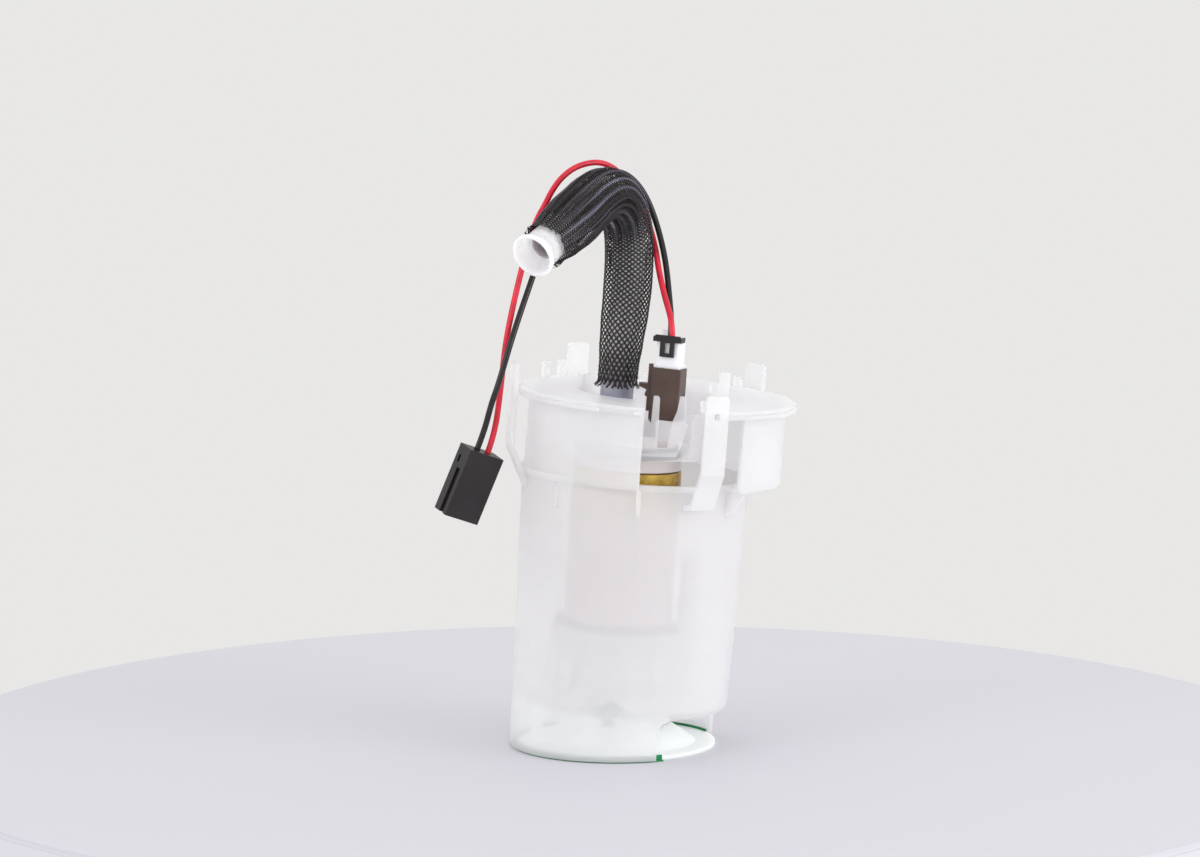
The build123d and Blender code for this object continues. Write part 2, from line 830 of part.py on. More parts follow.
def make_valve_guide():
    guide_top = guide_bottom + guide_thickness
    guide = tube(outlet_bore - slip, valve_stem_radius + loose, guide_bottom, guide_top, outlet_at)
    for index in range(3):
        port = block(1.6, 0.9, guide_bottom, guide_top, (outlet_bore - 0.9, 0))
        guide -= turn_about(outlet_at, 120 * index, port)
    return guide


def make_valve_spring():
    bottom = valve_seat + valve_head + slip
    return coil(valve_spring_radius, valve_spring_wire, bottom, guide_bottom - slip, 5, outlet_at)


def ball_height():
    return relief_seat + slip + math.sqrt(relief_ball ** 2 - relief_passage ** 2)


def make_relief_ball():
    place = at_pump(0, relief_offset)
    return Pos(place[0], place[1], ball_height()) * Sphere(relief_ball)


def make_relief_plug():
    place = at_pump(0, relief_offset)
    bottom = relief_boss_top - relief_plug_length
    plug = rod(relief_bore - slip, bottom, relief_boss_top, place)
    key = extrude(RegularPolygon(hex_key / 2, 6), relief_plug_length)
    return plug - Pos(place[0], place[1], bottom + relief_plug_length / 2) * key


def make_relief_spring():
    bottom = ball_height() + relief_ball * 0.8
    top = relief_boss_top - relief_plug_length - slip
    return coil(relief_spring_radius, relief_spring_wire, bottom, top, 4, at_pump(0, relief_offset))


def make_terminal_pins():
    blades = Part()
    for side in (-1, 1):
        place = (terminals_at[0] + side * blade_pitch / 2, terminals_at[1])
        blades += block(blade_thickness, blade_width, blade_bottom + slip, blade_top, place)
    return blades


def at_socket(solid):
    return turn_about(socket_at, socket_yaw, solid)


def make_socket_foot():
    # Shoe over the terminal tower, with a neck up to the socket's side
    foot = block(tower_width - 0.4, tower_depth - 0.4, tower_top + slip, socket_bottom - 1, terminals_at)
    right = terminals_at[0] + tower_width / 2 - 0.2
    left = socket_at[0] - socket_width / 2 - loose
    neck_at = ((left + right) / 2, terminals_at[1])
    return foot + block(right - left, tower_depth - 0.4, tower_top + slip, socket_floor, neck_at)


def make_socket_bracket():
    # Arm that points away from the socket's side, with a barb under it that hooks on the well's wall
    root = socket_at[0] - socket_width / 2 + 1
    tip = root - bracket_reach
    barb = tip + bracket_reach / 2
    outline = [
        (tip, bracket_top), (tip, bracket_top - bracket_thickness),
        (barb, bracket_top - 2 * bracket_thickness), (barb - 0.8, bracket_top - bracket_height + 1.2),
        (barb + 1.2, bracket_top - bracket_height), (root, bracket_top - bracket_height + 1.2),
        (root, bracket_top),
    ]
    return Pos(0, socket_at[1] + 0.5, 0) * upright_plate(outline, 2 * socket_rib)


def make_connector_socket():
    body = block(socket_width, socket_depth, socket_bottom, socket_top)
    body = fillet(body.edges().filter_by(Axis.Z), 0.8)
    rib = block(socket_rib, socket_rib, socket_bottom + 3, socket_top + 1.2,
                (-socket_width / 2 - 0.4, -socket_depth / 4))
    socket = at_socket(body + rib) + make_socket_foot() + make_socket_bracket()
    socket -= at_socket(block(socket_inner_width, socket_inner_depth, socket_floor, socket_top))
    for side in (-1, 1):
        place = (terminals_at[0] + side * blade_pitch / 2, terminals_at[1])
        slit = block(blade_thickness + 2 * slip, blade_width + 2 * slip, tower_top, blade_top + loose, place)
        socket -= slit
    return socket


def make_pump_plug():
    # Nose inside the socket, a shoulder on its rim, and the grip above it
    nose_width = socket_inner_width - 2 * loose
    nose_depth = socket_inner_depth - 2 * loose
    grip_bottom = socket_top + slip
    nose = block(nose_width, nose_depth, socket_floor + loose, grip_bottom)
    shoulder = block(nose_width + plug_shoulder, nose_depth + plug_shoulder, grip_bottom, socket_top + 1.6)
    grip = block(plug_width, plug_depth, grip_bottom, plug_top)
    grip = fillet(grip.edges().filter_by(Axis.Z), 0.6)
    tab_at = ((plug_tab_width - plug_width) / 2, (plug_depth - plug_tab_thickness) / 2)
    tab = block(plug_tab_width, plug_tab_thickness, plug_top - 1, plug_top + plug_tab_height, tab_at)
    plug = nose + shoulder + grip + tab
    for entry in (red_entry, black_entry):
        plug -= rod(wire_hole, plug_top - wire_seat - loose, plug_top, entry)
    return at_socket(plug)


def make_plug_lock():
    front = -plug_depth / 2 - slip
    place = (0, front - lock_thickness / 2)
    bar = block(lock_width, lock_thickness, lock_bottom, lock_top, place)
    loop = block(lock_loop_width, lock_thickness, lock_loop_bottom, lock_bottom, place)
    window = block(lock_window_width, lock_thickness, lock_loop_bottom + 1.4, lock_bottom - 0.3, place)
    lock = bar + loop - window
    for side in (-1, 1):
        arm_at = (side * (plug_width / 2 + slip + 0.5), front + 1.0)
        lock += block(1.0, 5.0, lock_bottom, lock_top - 0.6, arm_at)
    return at_socket(lock)


def ring_arc(outer, inner, start, end, bottom, top, at):
    sector = wedge(2 * outer, start, end, bottom, top)
    return Pos(at[0], at[1], 0) * (tube(outer, inner, bottom, top) & sector)


def make_fork():
    # Two prongs on a tapered foot, cut from the well's own curved wall
    outline = [(along, well_floor_height + height) for along, height in fork_outline]
    plate = Pos(0, -well_radius, 0) * upright_plate(outline, well_radius)
    wall = tube(well_radius + well_wall, well_radius, well_floor_height, socket_top, well_at)
    return plate & wall


def make_holder():
    plate = rod(holder_radius, holder_bottom, holder_top, collar_at)
    spigot_radius = collar_radius - collar_wall - loose
    spigot_bottom = holder_bottom - spigot_depth
    spigot = tube(spigot_radius, spigot_radius - spigot_wall, spigot_bottom, holder_bottom, collar_at)
    spigot -= wedge(2 * spigot_radius, opening_start - 2, opening_end + 2, spigot_bottom, holder_bottom,
                    collar_at)
    well = rod(well_radius + well_wall, well_floor_height, holder_top, well_at)
    back_top = holder_top + well_back_height
    back = ring_arc(well_radius + well_wall, well_radius, well_back_start, well_back_end,
                    well_floor_height, back_top, well_at)
    holder = plate + spigot + well
    holder -= rod(well_radius, well_floor_height + well_floor_thickness, holder_top, well_at)
    holder -= rod(cap_hole, well_floor_height, back_top, pump_at)
    holder += back
    width = window_right - window_left
    front = block(width, holder_radius, spigot_bottom, holder_top,
                  (window_left + width / 2, -holder_radius / 2 - well_radius / 2))
    holder -= front
    holder -= wedge(well_radius + well_wall + slip, window_start, window_end,
                    well_floor_height + well_floor_thickness, holder_top, well_at)
    holder += make_fork()
    for azimuth, height in tabs:
        tab = block(tab_thickness, tab_width, holder_bottom, holder_top + height, (tab_circle, 0))
        holder += turn_about(collar_at, azimuth, tab)
    return holder + block(post_width, tab_thickness, holder_bottom, holder_top + post_height, post_at)


def to_world(x, y, z):
    return stance * Pos(x, y, z)


def world_point(x, y, z):
    return Vector(*to_world(x, y, z).position)


# Hose route in the standing frame, from the outlet barb to the fitting's mouth
hose_mouth = Vector(-32.5, -45.0, 200.0)
hose_corners = [
    Vector(5.2, 5.6, 186.0),
    Vector(5.2, 6.0, 208.5),
    Vector(0.3, -1.1, 219.9),
    Vector(-6.3, -10.7, 222.2),
    Vector(-18.0, -24.6, 211.0),
]


def corner_radii(points):
    # Largest tangent arcs that the straight runs beside each corner leave room for
    radii = []
    for before, corner, after in zip(points, points[1:], points[2:]):
        run_in = corner - before
        run_out = after - corner
        half_turn = math.radians(run_in.get_angle(run_out)) / 2
        radii.append(0.45 * min(run_in.length, run_out.length) / math.tan(half_turn))
    return radii


def soft_tube(name, points, radius, bore, radii=None):
    radii = radii or corner_radii(points)
    path = FilletPolyline(*points, radius=radii)
    start = Plane(origin=path @ 0, z_dir=path % 0)
    solid = sweep(start * Circle(radius), path)
    area = math.pi * radius ** 2
    if bore:
        solid -= sweep(start * Circle(bore), path)
        area -= math.pi * bore ** 2
    rounded = [round(value, 1) for value in radii]
    print(name, "length", round(path.length, 1), "radii", rounded, "volume share",
          round(solid.volume / (area * path.length), 4))
    return solid


def hose_points(start_height, depth):
    start = world_point(outlet_at[0], outlet_at[1], start_height)
    rise = world_point(outlet_at[0], outlet_at[1], sleeve_start + hose_straight)
    last = (hose_mouth - hose_corners[-1]).normalized()
    return [start, rise, *hose_corners, hose_mouth - last * depth]


hose_radii = corner_radii(hose_points(hose_start, hose_end_depth))


def make_hose():
    points = hose_points(hose_start, hose_end_depth + slip)
    return soft_tube("fuel_hose", points, hose_radius, hose_bore, hose_radii)


def make_sleeve():
    points = hose_points(sleeve_start, sleeve_end_depth)
    radii = [min(pair) for pair in zip(hose_radii, corner_radii(points))]
    return soft_tube("braided_sleeve", points, sleeve_radius, sleeve_bore, radii)


def make_fitting():
    # The mouth is at height 0 and the hose side below it
    outline = [
        (hose_radius + slip, -fitting_cuff), (fitting_neck_radius, -fitting_cuff),
        (fitting_neck_radius, -fitting_flare), (fitting_mouth_radius, -1.2), (fitting_mouth_radius, 0),
        (fitting_cup_radius, 0), (fitting_cup_radius - 1.2, -fitting_cup_depth),
        (fitting_throat_radius, -fitting_cup_depth), (fitting_throat_radius, -hose_end_depth),
        (hose_radius + slip, -hose_end_depth),
    ]
    direction = hose_mouth - hose_corners[-1]
    return Plane(origin=hose_mouth, z_dir=direction).location * turned(outline)


def make_hose_clip():
    bore = hose_radius + slip
    band = tube(bore + hose_clip_wall, bore, clip_bottom, clip_bottom + clip_height, outlet_at)
    ear_at = (bore + hose_clip_wall + 0.9, 0)
    ear = block(2.6, 4.0, clip_bottom + 0.8, clip_bottom + clip_height - 0.8, ear_at)
    return band + turn_about(outlet_at, 150, ear)


# Harness connector frame: its length runs up along Z before it is turned and tilted into place
connector_place = Pos(*connector_centre) * Rot(0, connector_tilt, 0) * Rot(0, 0, connector_yaw)


def make_harness_connector():
    low = -connector_length / 2
    high = connector_length / 2
    body = block(connector_width, connector_depth, low, high)
    body = fillet(body.edges().filter_by(Axis.Z), 0.5)
    for side in (-1, 1):
        place = (side * contact_pitch / 2, 0)
        body -= block(cavity_size, cavity_size, low, low + cavity_depth, place)
        body -= rod(wire_hole, low + cavity_depth, high, place)
    groove = block(1.2, 3.2, low, high - 9, (-connector_width / 2 + 0.6, -1.2))
    latch = block(1.0, 1.6, high - 7, high - 4, (-connector_width / 2 + 0.5, 1.6))
    return connector_place * (body - groove - latch)


def make_harness_terminals():
    low = -connector_length / 2
    contacts = Part()
    for side in (-1, 1):
        place = (side * contact_pitch / 2, 0)
        bottom = low + cavity_depth - slip - contact_length
        sleeve = block(contact_size, contact_size, bottom, bottom + contact_length, place)
        inner = contact_size - 2 * contact_wall
        contacts += sleeve - block(inner, inner, bottom, bottom + contact_length - 3, place)
    return connector_place * contacts


def wire_ends(entry, side):
    # Start in the plug, end in the connector, each with the first bend clear of its piece
    starts = [stance * at_socket(Pos(entry[0], entry[1], plug_top + rise))
              for rise in (-wire_seat, wire_rise)]
    ends = [connector_place * Pos(side * contact_pitch / 2, 0, connector_length / 2 + rise)
            for rise in (wire_drop, -wire_seat)]
    return [Vector(*place.position) for place in starts], [Vector(*place.position) for place in ends]


red_route = [
    (19.3, -6.5, 180.0), (16.8, 0.0, 190.5), (15.8, 9.6, 198.5), (13.2, 13.5, 207.5),
    (10.0, 15.0, 216.0), (5.0, 12.5, 224.0), (-0.4, 9.0, 230.2), (-6.8, 5.5, 233.2), (-15.0, 1.0, 232.0),
    (-21.1, -3.0, 228.0), (-25.3, -6.0, 222.6), (-28.2, -8.0, 216.7), (-31.3, -10.0, 211.4),
    (-34.2, -12.0, 203.5), (-37.5, -14.0, 191.0), (-40.6, -16.0, 178.0), (-43.7, -17.0, 162.6),
    (-45.5, -17.8, 145.0),
]
black_route = [
    (21.0, -3.0, 181.0), (19.9, 3.0, 192.0), (17.9, 7.6, 202.0), (14.9, 10.3, 212.0),
    (11.5, 10.3, 219.8), (6.9, 8.3, 226.0), (1.5, 5.2, 229.4), (-5.5, 4.8, 228.6), (-12.3, 3.3, 224.1),
    (-20.2, -1.0, 216.5), (-26.1, -6.0, 207.0), (-30.0, -9.2, 197.3), (-33.0, -12.4, 188.6),
    (-37.5, -16.6, 175.8), (-41.8, -21.4, 162.8), (-46.1, -23.6, 148.1), (-49.2, -22.6, 139.5),
]


def make_wire(name, entry, side, route):
    starts, ends = wire_ends(entry, side)
    points = [*starts, *[Vector(*point) for point in route], *ends]
    return soft_tube(name, points, wire_radius, 0)


upright_nodes = {
    "jet_pump": make_jet_pump(),
    "foot_valve": make_foot_valve(),
    "inlet_strainer": make_strainer(),
    "strainer_mesh": make_strainer_mesh(),
    "rubber_mount_lower": make_lower_mount(),
    "rubber_mount_upper": make_upper_mount(),
    "pump_can": make_can(),
    "inlet_cover": make_inlet_cover(),
    "thrust_pad": make_thrust_pad(),
    "impeller": make_impeller(),
    "pump_plate": make_pump_plate(),
    "lower_bearing": make_bearing(pump_plate_top - bearing_length + slip, pump_plate_top),
    "upper_bearing": make_bearing(upper_bearing_bottom, upper_bearing_bottom + bearing_length),
    "shaft": make_shaft(),
    "armature_core": make_armature_core(),
    "armature_winding": make_armature_winding(),
    "commutator": make_commutator(),
    "field_magnets": make_magnets(),
    "magnet_clips": make_magnet_clips(),
    "pump_end_cap": make_end_cap(),
    "brush_front": make_brush(-1),
    "brush_rear": make_brush(1),
    "brush_spring_front": make_brush_spring(-1),
    "brush_spring_rear": make_brush_spring(1),
    "check_valve": make_check_valve(),
    "check_valve_guide": make_valve_guide(),
    "check_valve_spring": make_valve_spring(),
    "relief_ball": make_relief_ball(),
    "relief_spring": make_relief_spring(),
    "relief_plug": make_relief_plug(),
    "terminal_pins": make_terminal_pins(),
    "connector_socket": make_connector_socket(),
    "pump_plug": make_pump_plug(),
    "plug_lock": make_plug_lock(),
    "pump_holder": make_holder(),
    "hose_clip": make_hose_clip(),
}
standing_nodes = {
    "reservoir": make_reservoir(),
    "base_plate": make_base_plate(),
    "base_seal": make_base_seal(),
    "fuel_hose": make_hose(),
    "braided_sleeve": make_sleeve(),
    "hose_end_fitting": make_fitting(),
    "harness_connector": make_harness_connector(),
    "harness_terminals": make_harness_terminals(),
    "wire_red": make_wire("wire_red", red_entry, 1, red_route),
    "wire_black": make_wire("wire_black", black_entry, -1, black_route),
}

for name, solid in upright_nodes.items():
    export_step(stance * solid, f"parts/{name}.step")
for name, solid in standing_nodes.items():
    export_step(solid, f"parts/{name}.step")
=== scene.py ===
import math
import random

import bmesh
import bpy
from mathutils import Matrix, Vector


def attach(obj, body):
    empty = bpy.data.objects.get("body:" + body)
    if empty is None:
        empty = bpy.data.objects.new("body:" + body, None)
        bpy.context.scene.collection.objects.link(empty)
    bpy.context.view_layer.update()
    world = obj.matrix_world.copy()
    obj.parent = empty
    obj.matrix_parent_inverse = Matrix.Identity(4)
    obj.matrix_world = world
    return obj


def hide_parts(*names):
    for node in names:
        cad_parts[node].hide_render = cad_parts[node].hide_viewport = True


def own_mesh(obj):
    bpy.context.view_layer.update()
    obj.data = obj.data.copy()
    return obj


# In-tank fuel pump module: translucent swirl pot, pump, hose in its braided sleeve, and the two-wire lead.
# Everything is in metres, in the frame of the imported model; values whose names end in Mm are in millimetres.

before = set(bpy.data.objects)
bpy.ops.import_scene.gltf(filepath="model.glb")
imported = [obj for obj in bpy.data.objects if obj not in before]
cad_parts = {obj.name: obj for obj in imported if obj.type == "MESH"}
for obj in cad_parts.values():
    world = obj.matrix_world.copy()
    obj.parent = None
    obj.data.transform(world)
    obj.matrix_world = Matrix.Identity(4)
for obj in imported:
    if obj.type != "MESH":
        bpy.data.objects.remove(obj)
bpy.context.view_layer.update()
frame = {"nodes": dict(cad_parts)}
mm = 0.001
print("frame loaded:", len(frame["nodes"]), "nodes")


# camera, light and stage

cameraView = {"place": (-0.0064, -1.864, 0.366), "tiltDegrees": 82.7, "lensMm": 141.75, "sensorMm": 36,
              "nearestM": 0.01}
lamps = {
    "keyLeft": {"place": (-1.25, -1.05, 0.65), "sizeM": 0.9, "watts": 4.5},
    "fillRight": {"place": (1.3, -0.75, 0.5), "sizeM": 1.1, "watts": 8.0},
    "overhead": {"place": (0.05, 0.35, 1.45), "sizeM": 1.2, "watts": 0.8},
}
lampTarget = (0, 0, 0.11)  # the middle of the object, which every lamp faces
studio = {"backdropHex": "e8e7e6", "ambient": 1.04}
tableValues = {"radiusM": 0.283, "thicknessM": 0.018, "roundingMm": 2, "sides": 160,
               "hex": "cecdd4", "roughness": 0.5, "gloss": 0.15}


def toLinear(hexCode, alpha=1.0):
    channels = [int(hexCode[i:i + 2], 16) / 255 for i in (0, 2, 4)]
    return (*[c / 12.92 if c <= 0.04045 else ((c + 0.055) / 1.055) ** 2.4 for c in channels], alpha)


def addNode(tree, kind, settings=None, links=None):
    # settings holds properties and socket values by name, links maps an input socket to another node's output
    node = tree.nodes.new(kind)
    for key, value in (settings or {}).items():
        if key in node.inputs:
            node.inputs[key].default_value = value
        else:
            setattr(node, key, value)
    for socket, source in (links or {}).items():
        tree.links.new(source, node.inputs[socket])
    return node


def newMaterial(name):
    material = bpy.data.materials.new(name)
    material.use_nodes = True
    tree = material.node_tree
    return material, tree, tree.nodes["Principled BSDF"]


def setSurface(surface, values):
    for socket, value in values.items():
        surface.inputs[socket].default_value = value


def placeCamera():
    camera = bpy.data.objects.new("photoCamera", bpy.data.cameras.new("photoCamera"))
    camera.location = cameraView["place"]
    camera.rotation_euler = (math.radians(cameraView["tiltDegrees"]), 0, 0)
    camera.data.sensor_width = cameraView["sensorMm"]
    camera.data.lens = cameraView["lensMm"]
    camera.data.clip_start = cameraView["nearestM"]
    bpy.context.scene.collection.objects.link(camera)
    bpy.context.scene.camera = camera


def placeLamps():
    for name, lamp in lamps.items():
        data = bpy.data.lights.new(name, "AREA")
        data.shape = "DISK"
        data.size = lamp["sizeM"]
        data.energy = lamp["watts"]
        item = bpy.data.objects.new(name, data)
        item.location = lamp["place"]
        item.rotation_euler = (Vector(lampTarget) - Vector(lamp["place"])).to_track_quat("-Z", "Y").to_euler()
        bpy.context.scene.collection.objects.link(item)


def paintWorld():
    # pale studio paper is what the camera, gloss and clear plastic see, a plain white is what lights the object
    world = bpy.data.worlds.new("studioPaper")
    bpy.context.scene.world = world
    world.use_nodes = True
    tree = world.node_tree
    tree.nodes.clear()
    path = addNode(tree, "ShaderNodeLightPath")
    seen = addNode(tree, "ShaderNodeMath", {"operation": "MAXIMUM"},
                   {0: path.outputs["Is Camera Ray"], 1: path.outputs["Is Glossy Ray"]})
    seenOrClear = addNode(tree, "ShaderNodeMath", {"operation": "MAXIMUM"},
                          {0: seen.outputs[0], 1: path.outputs["Is Transmission Ray"]})
    paper = addNode(tree, "ShaderNodeBackground", {"Color": toLinear(studio["backdropHex"]), "Strength": 1.0})
    soft = addNode(tree, "ShaderNodeBackground", {"Color": (1, 1, 1, 1), "Strength": studio["ambient"]})
    mix = addNode(tree, "ShaderNodeMixShader", None,
                  {0: seenOrClear.outputs[0], 1: soft.outputs[0], 2: paper.outputs[0]})
    addNode(tree, "ShaderNodeOutputWorld", None, {"Surface": mix.outputs[0]})


def linkMesh(name, maker, smooth=True):
    mesh = bpy.data.meshes.new(name)
    maker.to_mesh(mesh)
    maker.free()
    if smooth:
        mesh.polygons.foreach_set("use_smooth", [True] * len(mesh.polygons))
    item = bpy.data.objects.new(name, mesh)
    bpy.context.scene.collection.objects.link(item)
    return item


def setTable():
    # round turntable with a rounded edge, in a pale satin laminate
    table = bmesh.new()
    radius, depth = tableValues["radiusM"], tableValues["thicknessM"]
    bmesh.ops.create_cone(table, cap_ends=True, segments=tableValues["sides"], radius1=radius, radius2=radius,
                          depth=depth, matrix=Matrix.Translation((0, 0, -depth / 2)))
    # both rims, where a cap meets the side at a right angle
    rims = [edge for edge in table.edges if len(edge.link_faces) == 2 and edge.calc_face_angle(0) > 1.2]
    bmesh.ops.bevel(table, geom=rims, offset=tableValues["roundingMm"] * mm, segments=3, affect="EDGES")
    item = linkMesh("turntable", table, smooth=False)
    material, tree, surface = newMaterial("satinLaminateTable")
    setSurface(surface, {"Base Color": toLinear(tableValues["hex"]), "Roughness": tableValues["roughness"],
                         "Specular IOR Level": tableValues["gloss"]})
    item.data.materials.append(material)


bpy.context.scene.view_settings.view_transform = "Standard"
placeCamera()
placeLamps()
paintWorld()
setTable()
print("camera, lamps and table placed")


# routes of the soft pieces, in metres

hoseRoute = [
    (-0.001009, 0.002, 0.124391), (0.001207, 0.002, 0.155311), (0.0052, 0.0056, 0.186), (0.0052, 0.006, 0.2085),
    (0.0003, -0.0011, 0.2199), (-0.0063, -0.0107, 0.2222), (-0.018, -0.0246, 0.211),
    (-0.024783, -0.034143, 0.205855),
]
sleeveRoute = [
    (0.000349, 0.002, 0.143342), (0.001207, 0.002, 0.155311), (0.0052, 0.0056, 0.186), (0.0052, 0.006, 0.2085),
    (0.0003, -0.0011, 0.2199), (-0.0063, -0.0107, 0.2222), (-0.018, -0.0246, 0.211),
    (-0.028257, -0.03903, 0.203219),
]
redRoute = [
    (0.021849, -0.014405, 0.16125), (0.022457, -0.014405, 0.169729), (0.0193, -0.0065, 0.18),
    (0.0168, 0.0, 0.1905), (0.0158, 0.0096, 0.1985), (0.0132, 0.0135, 0.2075), (0.01, 0.015, 0.216),
    (0.005, 0.0125, 0.224), (-0.0004, 0.009, 0.2302), (-0.0068, 0.0055, 0.2332), (-0.015, 0.001, 0.232),
    (-0.0211, -0.003, 0.228), (-0.0253, -0.006, 0.2226), (-0.0282, -0.008, 0.2167), (-0.0313, -0.01, 0.2114),
    (-0.0342, -0.012, 0.2035), (-0.0375, -0.014, 0.191), (-0.0406, -0.016, 0.178), (-0.0437, -0.017, 0.1626),
    (-0.0455, -0.0178, 0.145), (-0.048041, -0.017965, 0.126209), (-0.051819, -0.017965, 0.11695),
]
blackRoute = [
    (0.021322, -0.010595, 0.161288), (0.02193, -0.010595, 0.169767), (0.021, -0.003, 0.181),
    (0.0199, 0.003, 0.192), (0.0179, 0.0076, 0.202), (0.0149, 0.0103, 0.212), (0.0115, 0.0103, 0.2198),
    (0.0069, 0.0083, 0.226), (0.0015, 0.0052, 0.2294), (-0.0055, 0.0048, 0.2286), (-0.0123, 0.0033, 0.2241),
    (-0.0202, -0.001, 0.2165), (-0.0261, -0.006, 0.207), (-0.03, -0.0092, 0.1973), (-0.033, -0.0124, 0.1886),
    (-0.0375, -0.0166, 0.1758), (-0.0418, -0.0214, 0.1628), (-0.0461, -0.0236, 0.1481),
    (-0.0492, -0.0226, 0.1395), (-0.052166, -0.020235, 0.127892), (-0.055944, -0.020235, 0.118634),
]


def routeCurve(route):
    # a smooth curve that starts and ends at the route's ends and is drawn towards the points between
    curve = bpy.data.curves.new("guideLine", "CURVE")
    curve.dimensions = "3D"
    line = curve.splines.new("NURBS")
    line.points.add(len(route) - 1)
    for point, place in zip(line.points, route):
        point.co = (*place, 1)
    line.order_u = 3
    line.use_endpoint_u = True
    line.resolution_u = 24
    item = bpy.data.objects.new("guideLine", curve)
    bpy.context.scene.collection.objects.link(item)
    return item


def routeLine(route, step):
    # evenly spaced points of the smooth curve, and its length; the curve itself is only a guide and goes again
    guide = routeCurve(route)
    sampled = bpy.data.meshes.new_from_object(guide)
    dense = [vertex.co.copy() for vertex in sampled.vertices]
    curve = guide.data
    bpy.data.objects.remove(guide)
    bpy.data.curves.remove(curve)
    bpy.data.meshes.remove(sampled)
    lengths = [0.0]
    for before, after in zip(dense, dense[1:]):
        lengths.append(lengths[-1] + (after - before).length)
    total = lengths[-1]
    count = max(2, round(total / step))
    points, spot = [], 0
    for i in range(count + 1):
        along = total * i / count
        while spot < len(dense) - 2 and lengths[spot + 1] < along:
            spot += 1
        share = (along - lengths[spot]) / max(lengths[spot + 1] - lengths[spot], 1e-9)
        points.append(dense[spot].lerp(dense[spot + 1], min(share, 1)))
    return points, total


def framesAlong(points):
    # the way along the line and a steady pair of side directions at each point, carried on without twist
    frames = []
    side = Vector((0, -1, 0))
    for i, point in enumerate(points):
        way = (points[min(i + 1, len(points) - 1)] - points[max(i - 1, 0)]).normalized()
        side = (side - way * side.dot(way)).normalized()
        frames.append((point, way, side, way.cross(side)))
    return frames


class FrameLine:
    # looks up the frame at any distance along a route
    def __init__(self, route, step=0.5 * mm):
        self.points, self.length = routeLine(route, step)
        self.frames = framesAlong(self.points)

    def at(self, along):
        spot = min(max(along / self.length, 0), 1) * (len(self.frames) - 1)
        low = min(int(spot), len(self.frames) - 2)
        share = spot - low
        return [a.lerp(b, share) for a, b in zip(self.frames[low], self.frames[low + 1])]

    def ring(self, along, radius, sides):
        point, way, side, up = self.at(along)
        angles = [math.tau * i / sides for i in range(sides)]
        return [point + (side * math.cos(angle) + up * math.sin(angle)) * radius for angle in angles]


def loftTube(name, rings, closed=False):
    # rings of equal length joined by quads, each ring closed on itself; an open tube gets flat ends
    maker = bmesh.new()
    rows = [[maker.verts.new(place) for place in ring] for ring in rings]
    if closed:
        rows.append(rows[0])
    for row, following in zip(rows, rows[1:]):
        for i in range(len(row)):
            j = (i + 1) % len(row)
            maker.faces.new((row[i], row[j], following[j], following[i]))
    if not closed:
        maker.faces.new(rows[0])
        maker.faces.new(rows[-1])
    bmesh.ops.recalc_face_normals(maker, faces=maker.faces)
    return linkMesh(name, maker)


# hose: extruded nylon tube, hollow, so that the light in its wall is right

hoseValues = {"radiusMm": 6.65, "boreRadiusMm": 4.25, "edgeMm": 0.25, "sides": 40, "stepMm": 1.5}


def makeHose():
    line = FrameLine(hoseRoute)
    sides = hoseValues["sides"]
    outer, inner, edge = (hoseValues[key] * mm for key in ("radiusMm", "boreRadiusMm", "edgeMm"))
    count = round(line.length / (hoseValues["stepMm"] * mm))
    # up the outside with a broken edge at each end, then back down the bore
    rings = [line.ring(0, outer - edge, sides)]
    rings += [line.ring(edge + (line.length - 2 * edge) * i / count, outer, sides) for i in range(count + 1)]
    rings += [line.ring(line.length, outer - edge, sides), line.ring(line.length, inner, sides)]
    rings += [line.ring(line.length * (1 - i / count), inner, sides) for i in range(1, count + 1)]
    hose = loftTube("hoseTube", rings, closed=True)
    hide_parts("fuel_hose")
    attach(hose, "root")
    return hose


# sleeve: black polyester braid, an open diamond net below and drawn into pleats over the arch

sleeveValues = {
    "strandsEachWay": 24, "strandWidthMm": 0.76, "strandThicknessMm": 0.26, "weaveMm": 0.16, "stepMm": 0.6,
    # distance along the sleeve in mm, then its radius in mm, the braid's angle to its axis in degrees, the
    # pleats' depth in mm, and how wide a strand lies: spread at the hem, bunched over the arch
    "profile": [
        (0, 8.5, 22, 0, 1.3), (3, 7.75, 26, 0, 1.3), (9, 7.8, 33, 0, 1.15), (18, 8.5, 40, 0, 0.95),
        (30, 9.2, 46, 0, 0.92), (42, 9.5, 50, 0, 0.92), (56, 9.5, 53, 0.2, 0.88), (66, 9.4, 61, 0.9, 0.86),
        (75, 9.6, 68, 1.5, 0.9), (86, 10.0, 71, 1.8, 0.88), (98, 10.3, 71, 1.8, 0.84), (109, 10.8, 70, 1.6, 0.8),
        (118, 10.2, 67, 1.3, 0.84), (126, 9.1, 61, 0.7, 0.94), (131, 8.7, 52, 0.2, 1.1),
    ],
    "columns": {"radiusMm": 1, "angleDegrees": 2, "pleatMm": 3, "spread": 4},
    "pleats": 17, "pleatPower": 0.7, "pleatMiddle": 0.7, "pleatWander": 0.5,
    "ridgePower": 10, "fullRidgeMm": 1.5,
    "endRaggedMm": 1.3, "endFlareMm": 0.9, "endFlareSpread": (0.8, 1.2), "endReachMm": 2.2, "endTaper": 0.25,
    "seed": 7,
}

# two filaments side by side: place across the strand in half widths, and height over its middle
strandSection = [(-1, 0), (-0.5, 1), (0, 0.45), (0.5, 1), (1, 0), (0, -0.8)]


def profileAt(along, name):
    rows = sleeveValues["profile"]
    column = sleeveValues["columns"][name]
    length = along / mm
    for low, high in zip(rows, rows[1:]):
        if length <= high[0]:
            share = max(length - low[0], 0) / (high[0] - low[0])
            smooth = share * share * (3 - 2 * share)
            return low[column] + (high[column] - low[column]) * smooth
    return rows[-1][column]


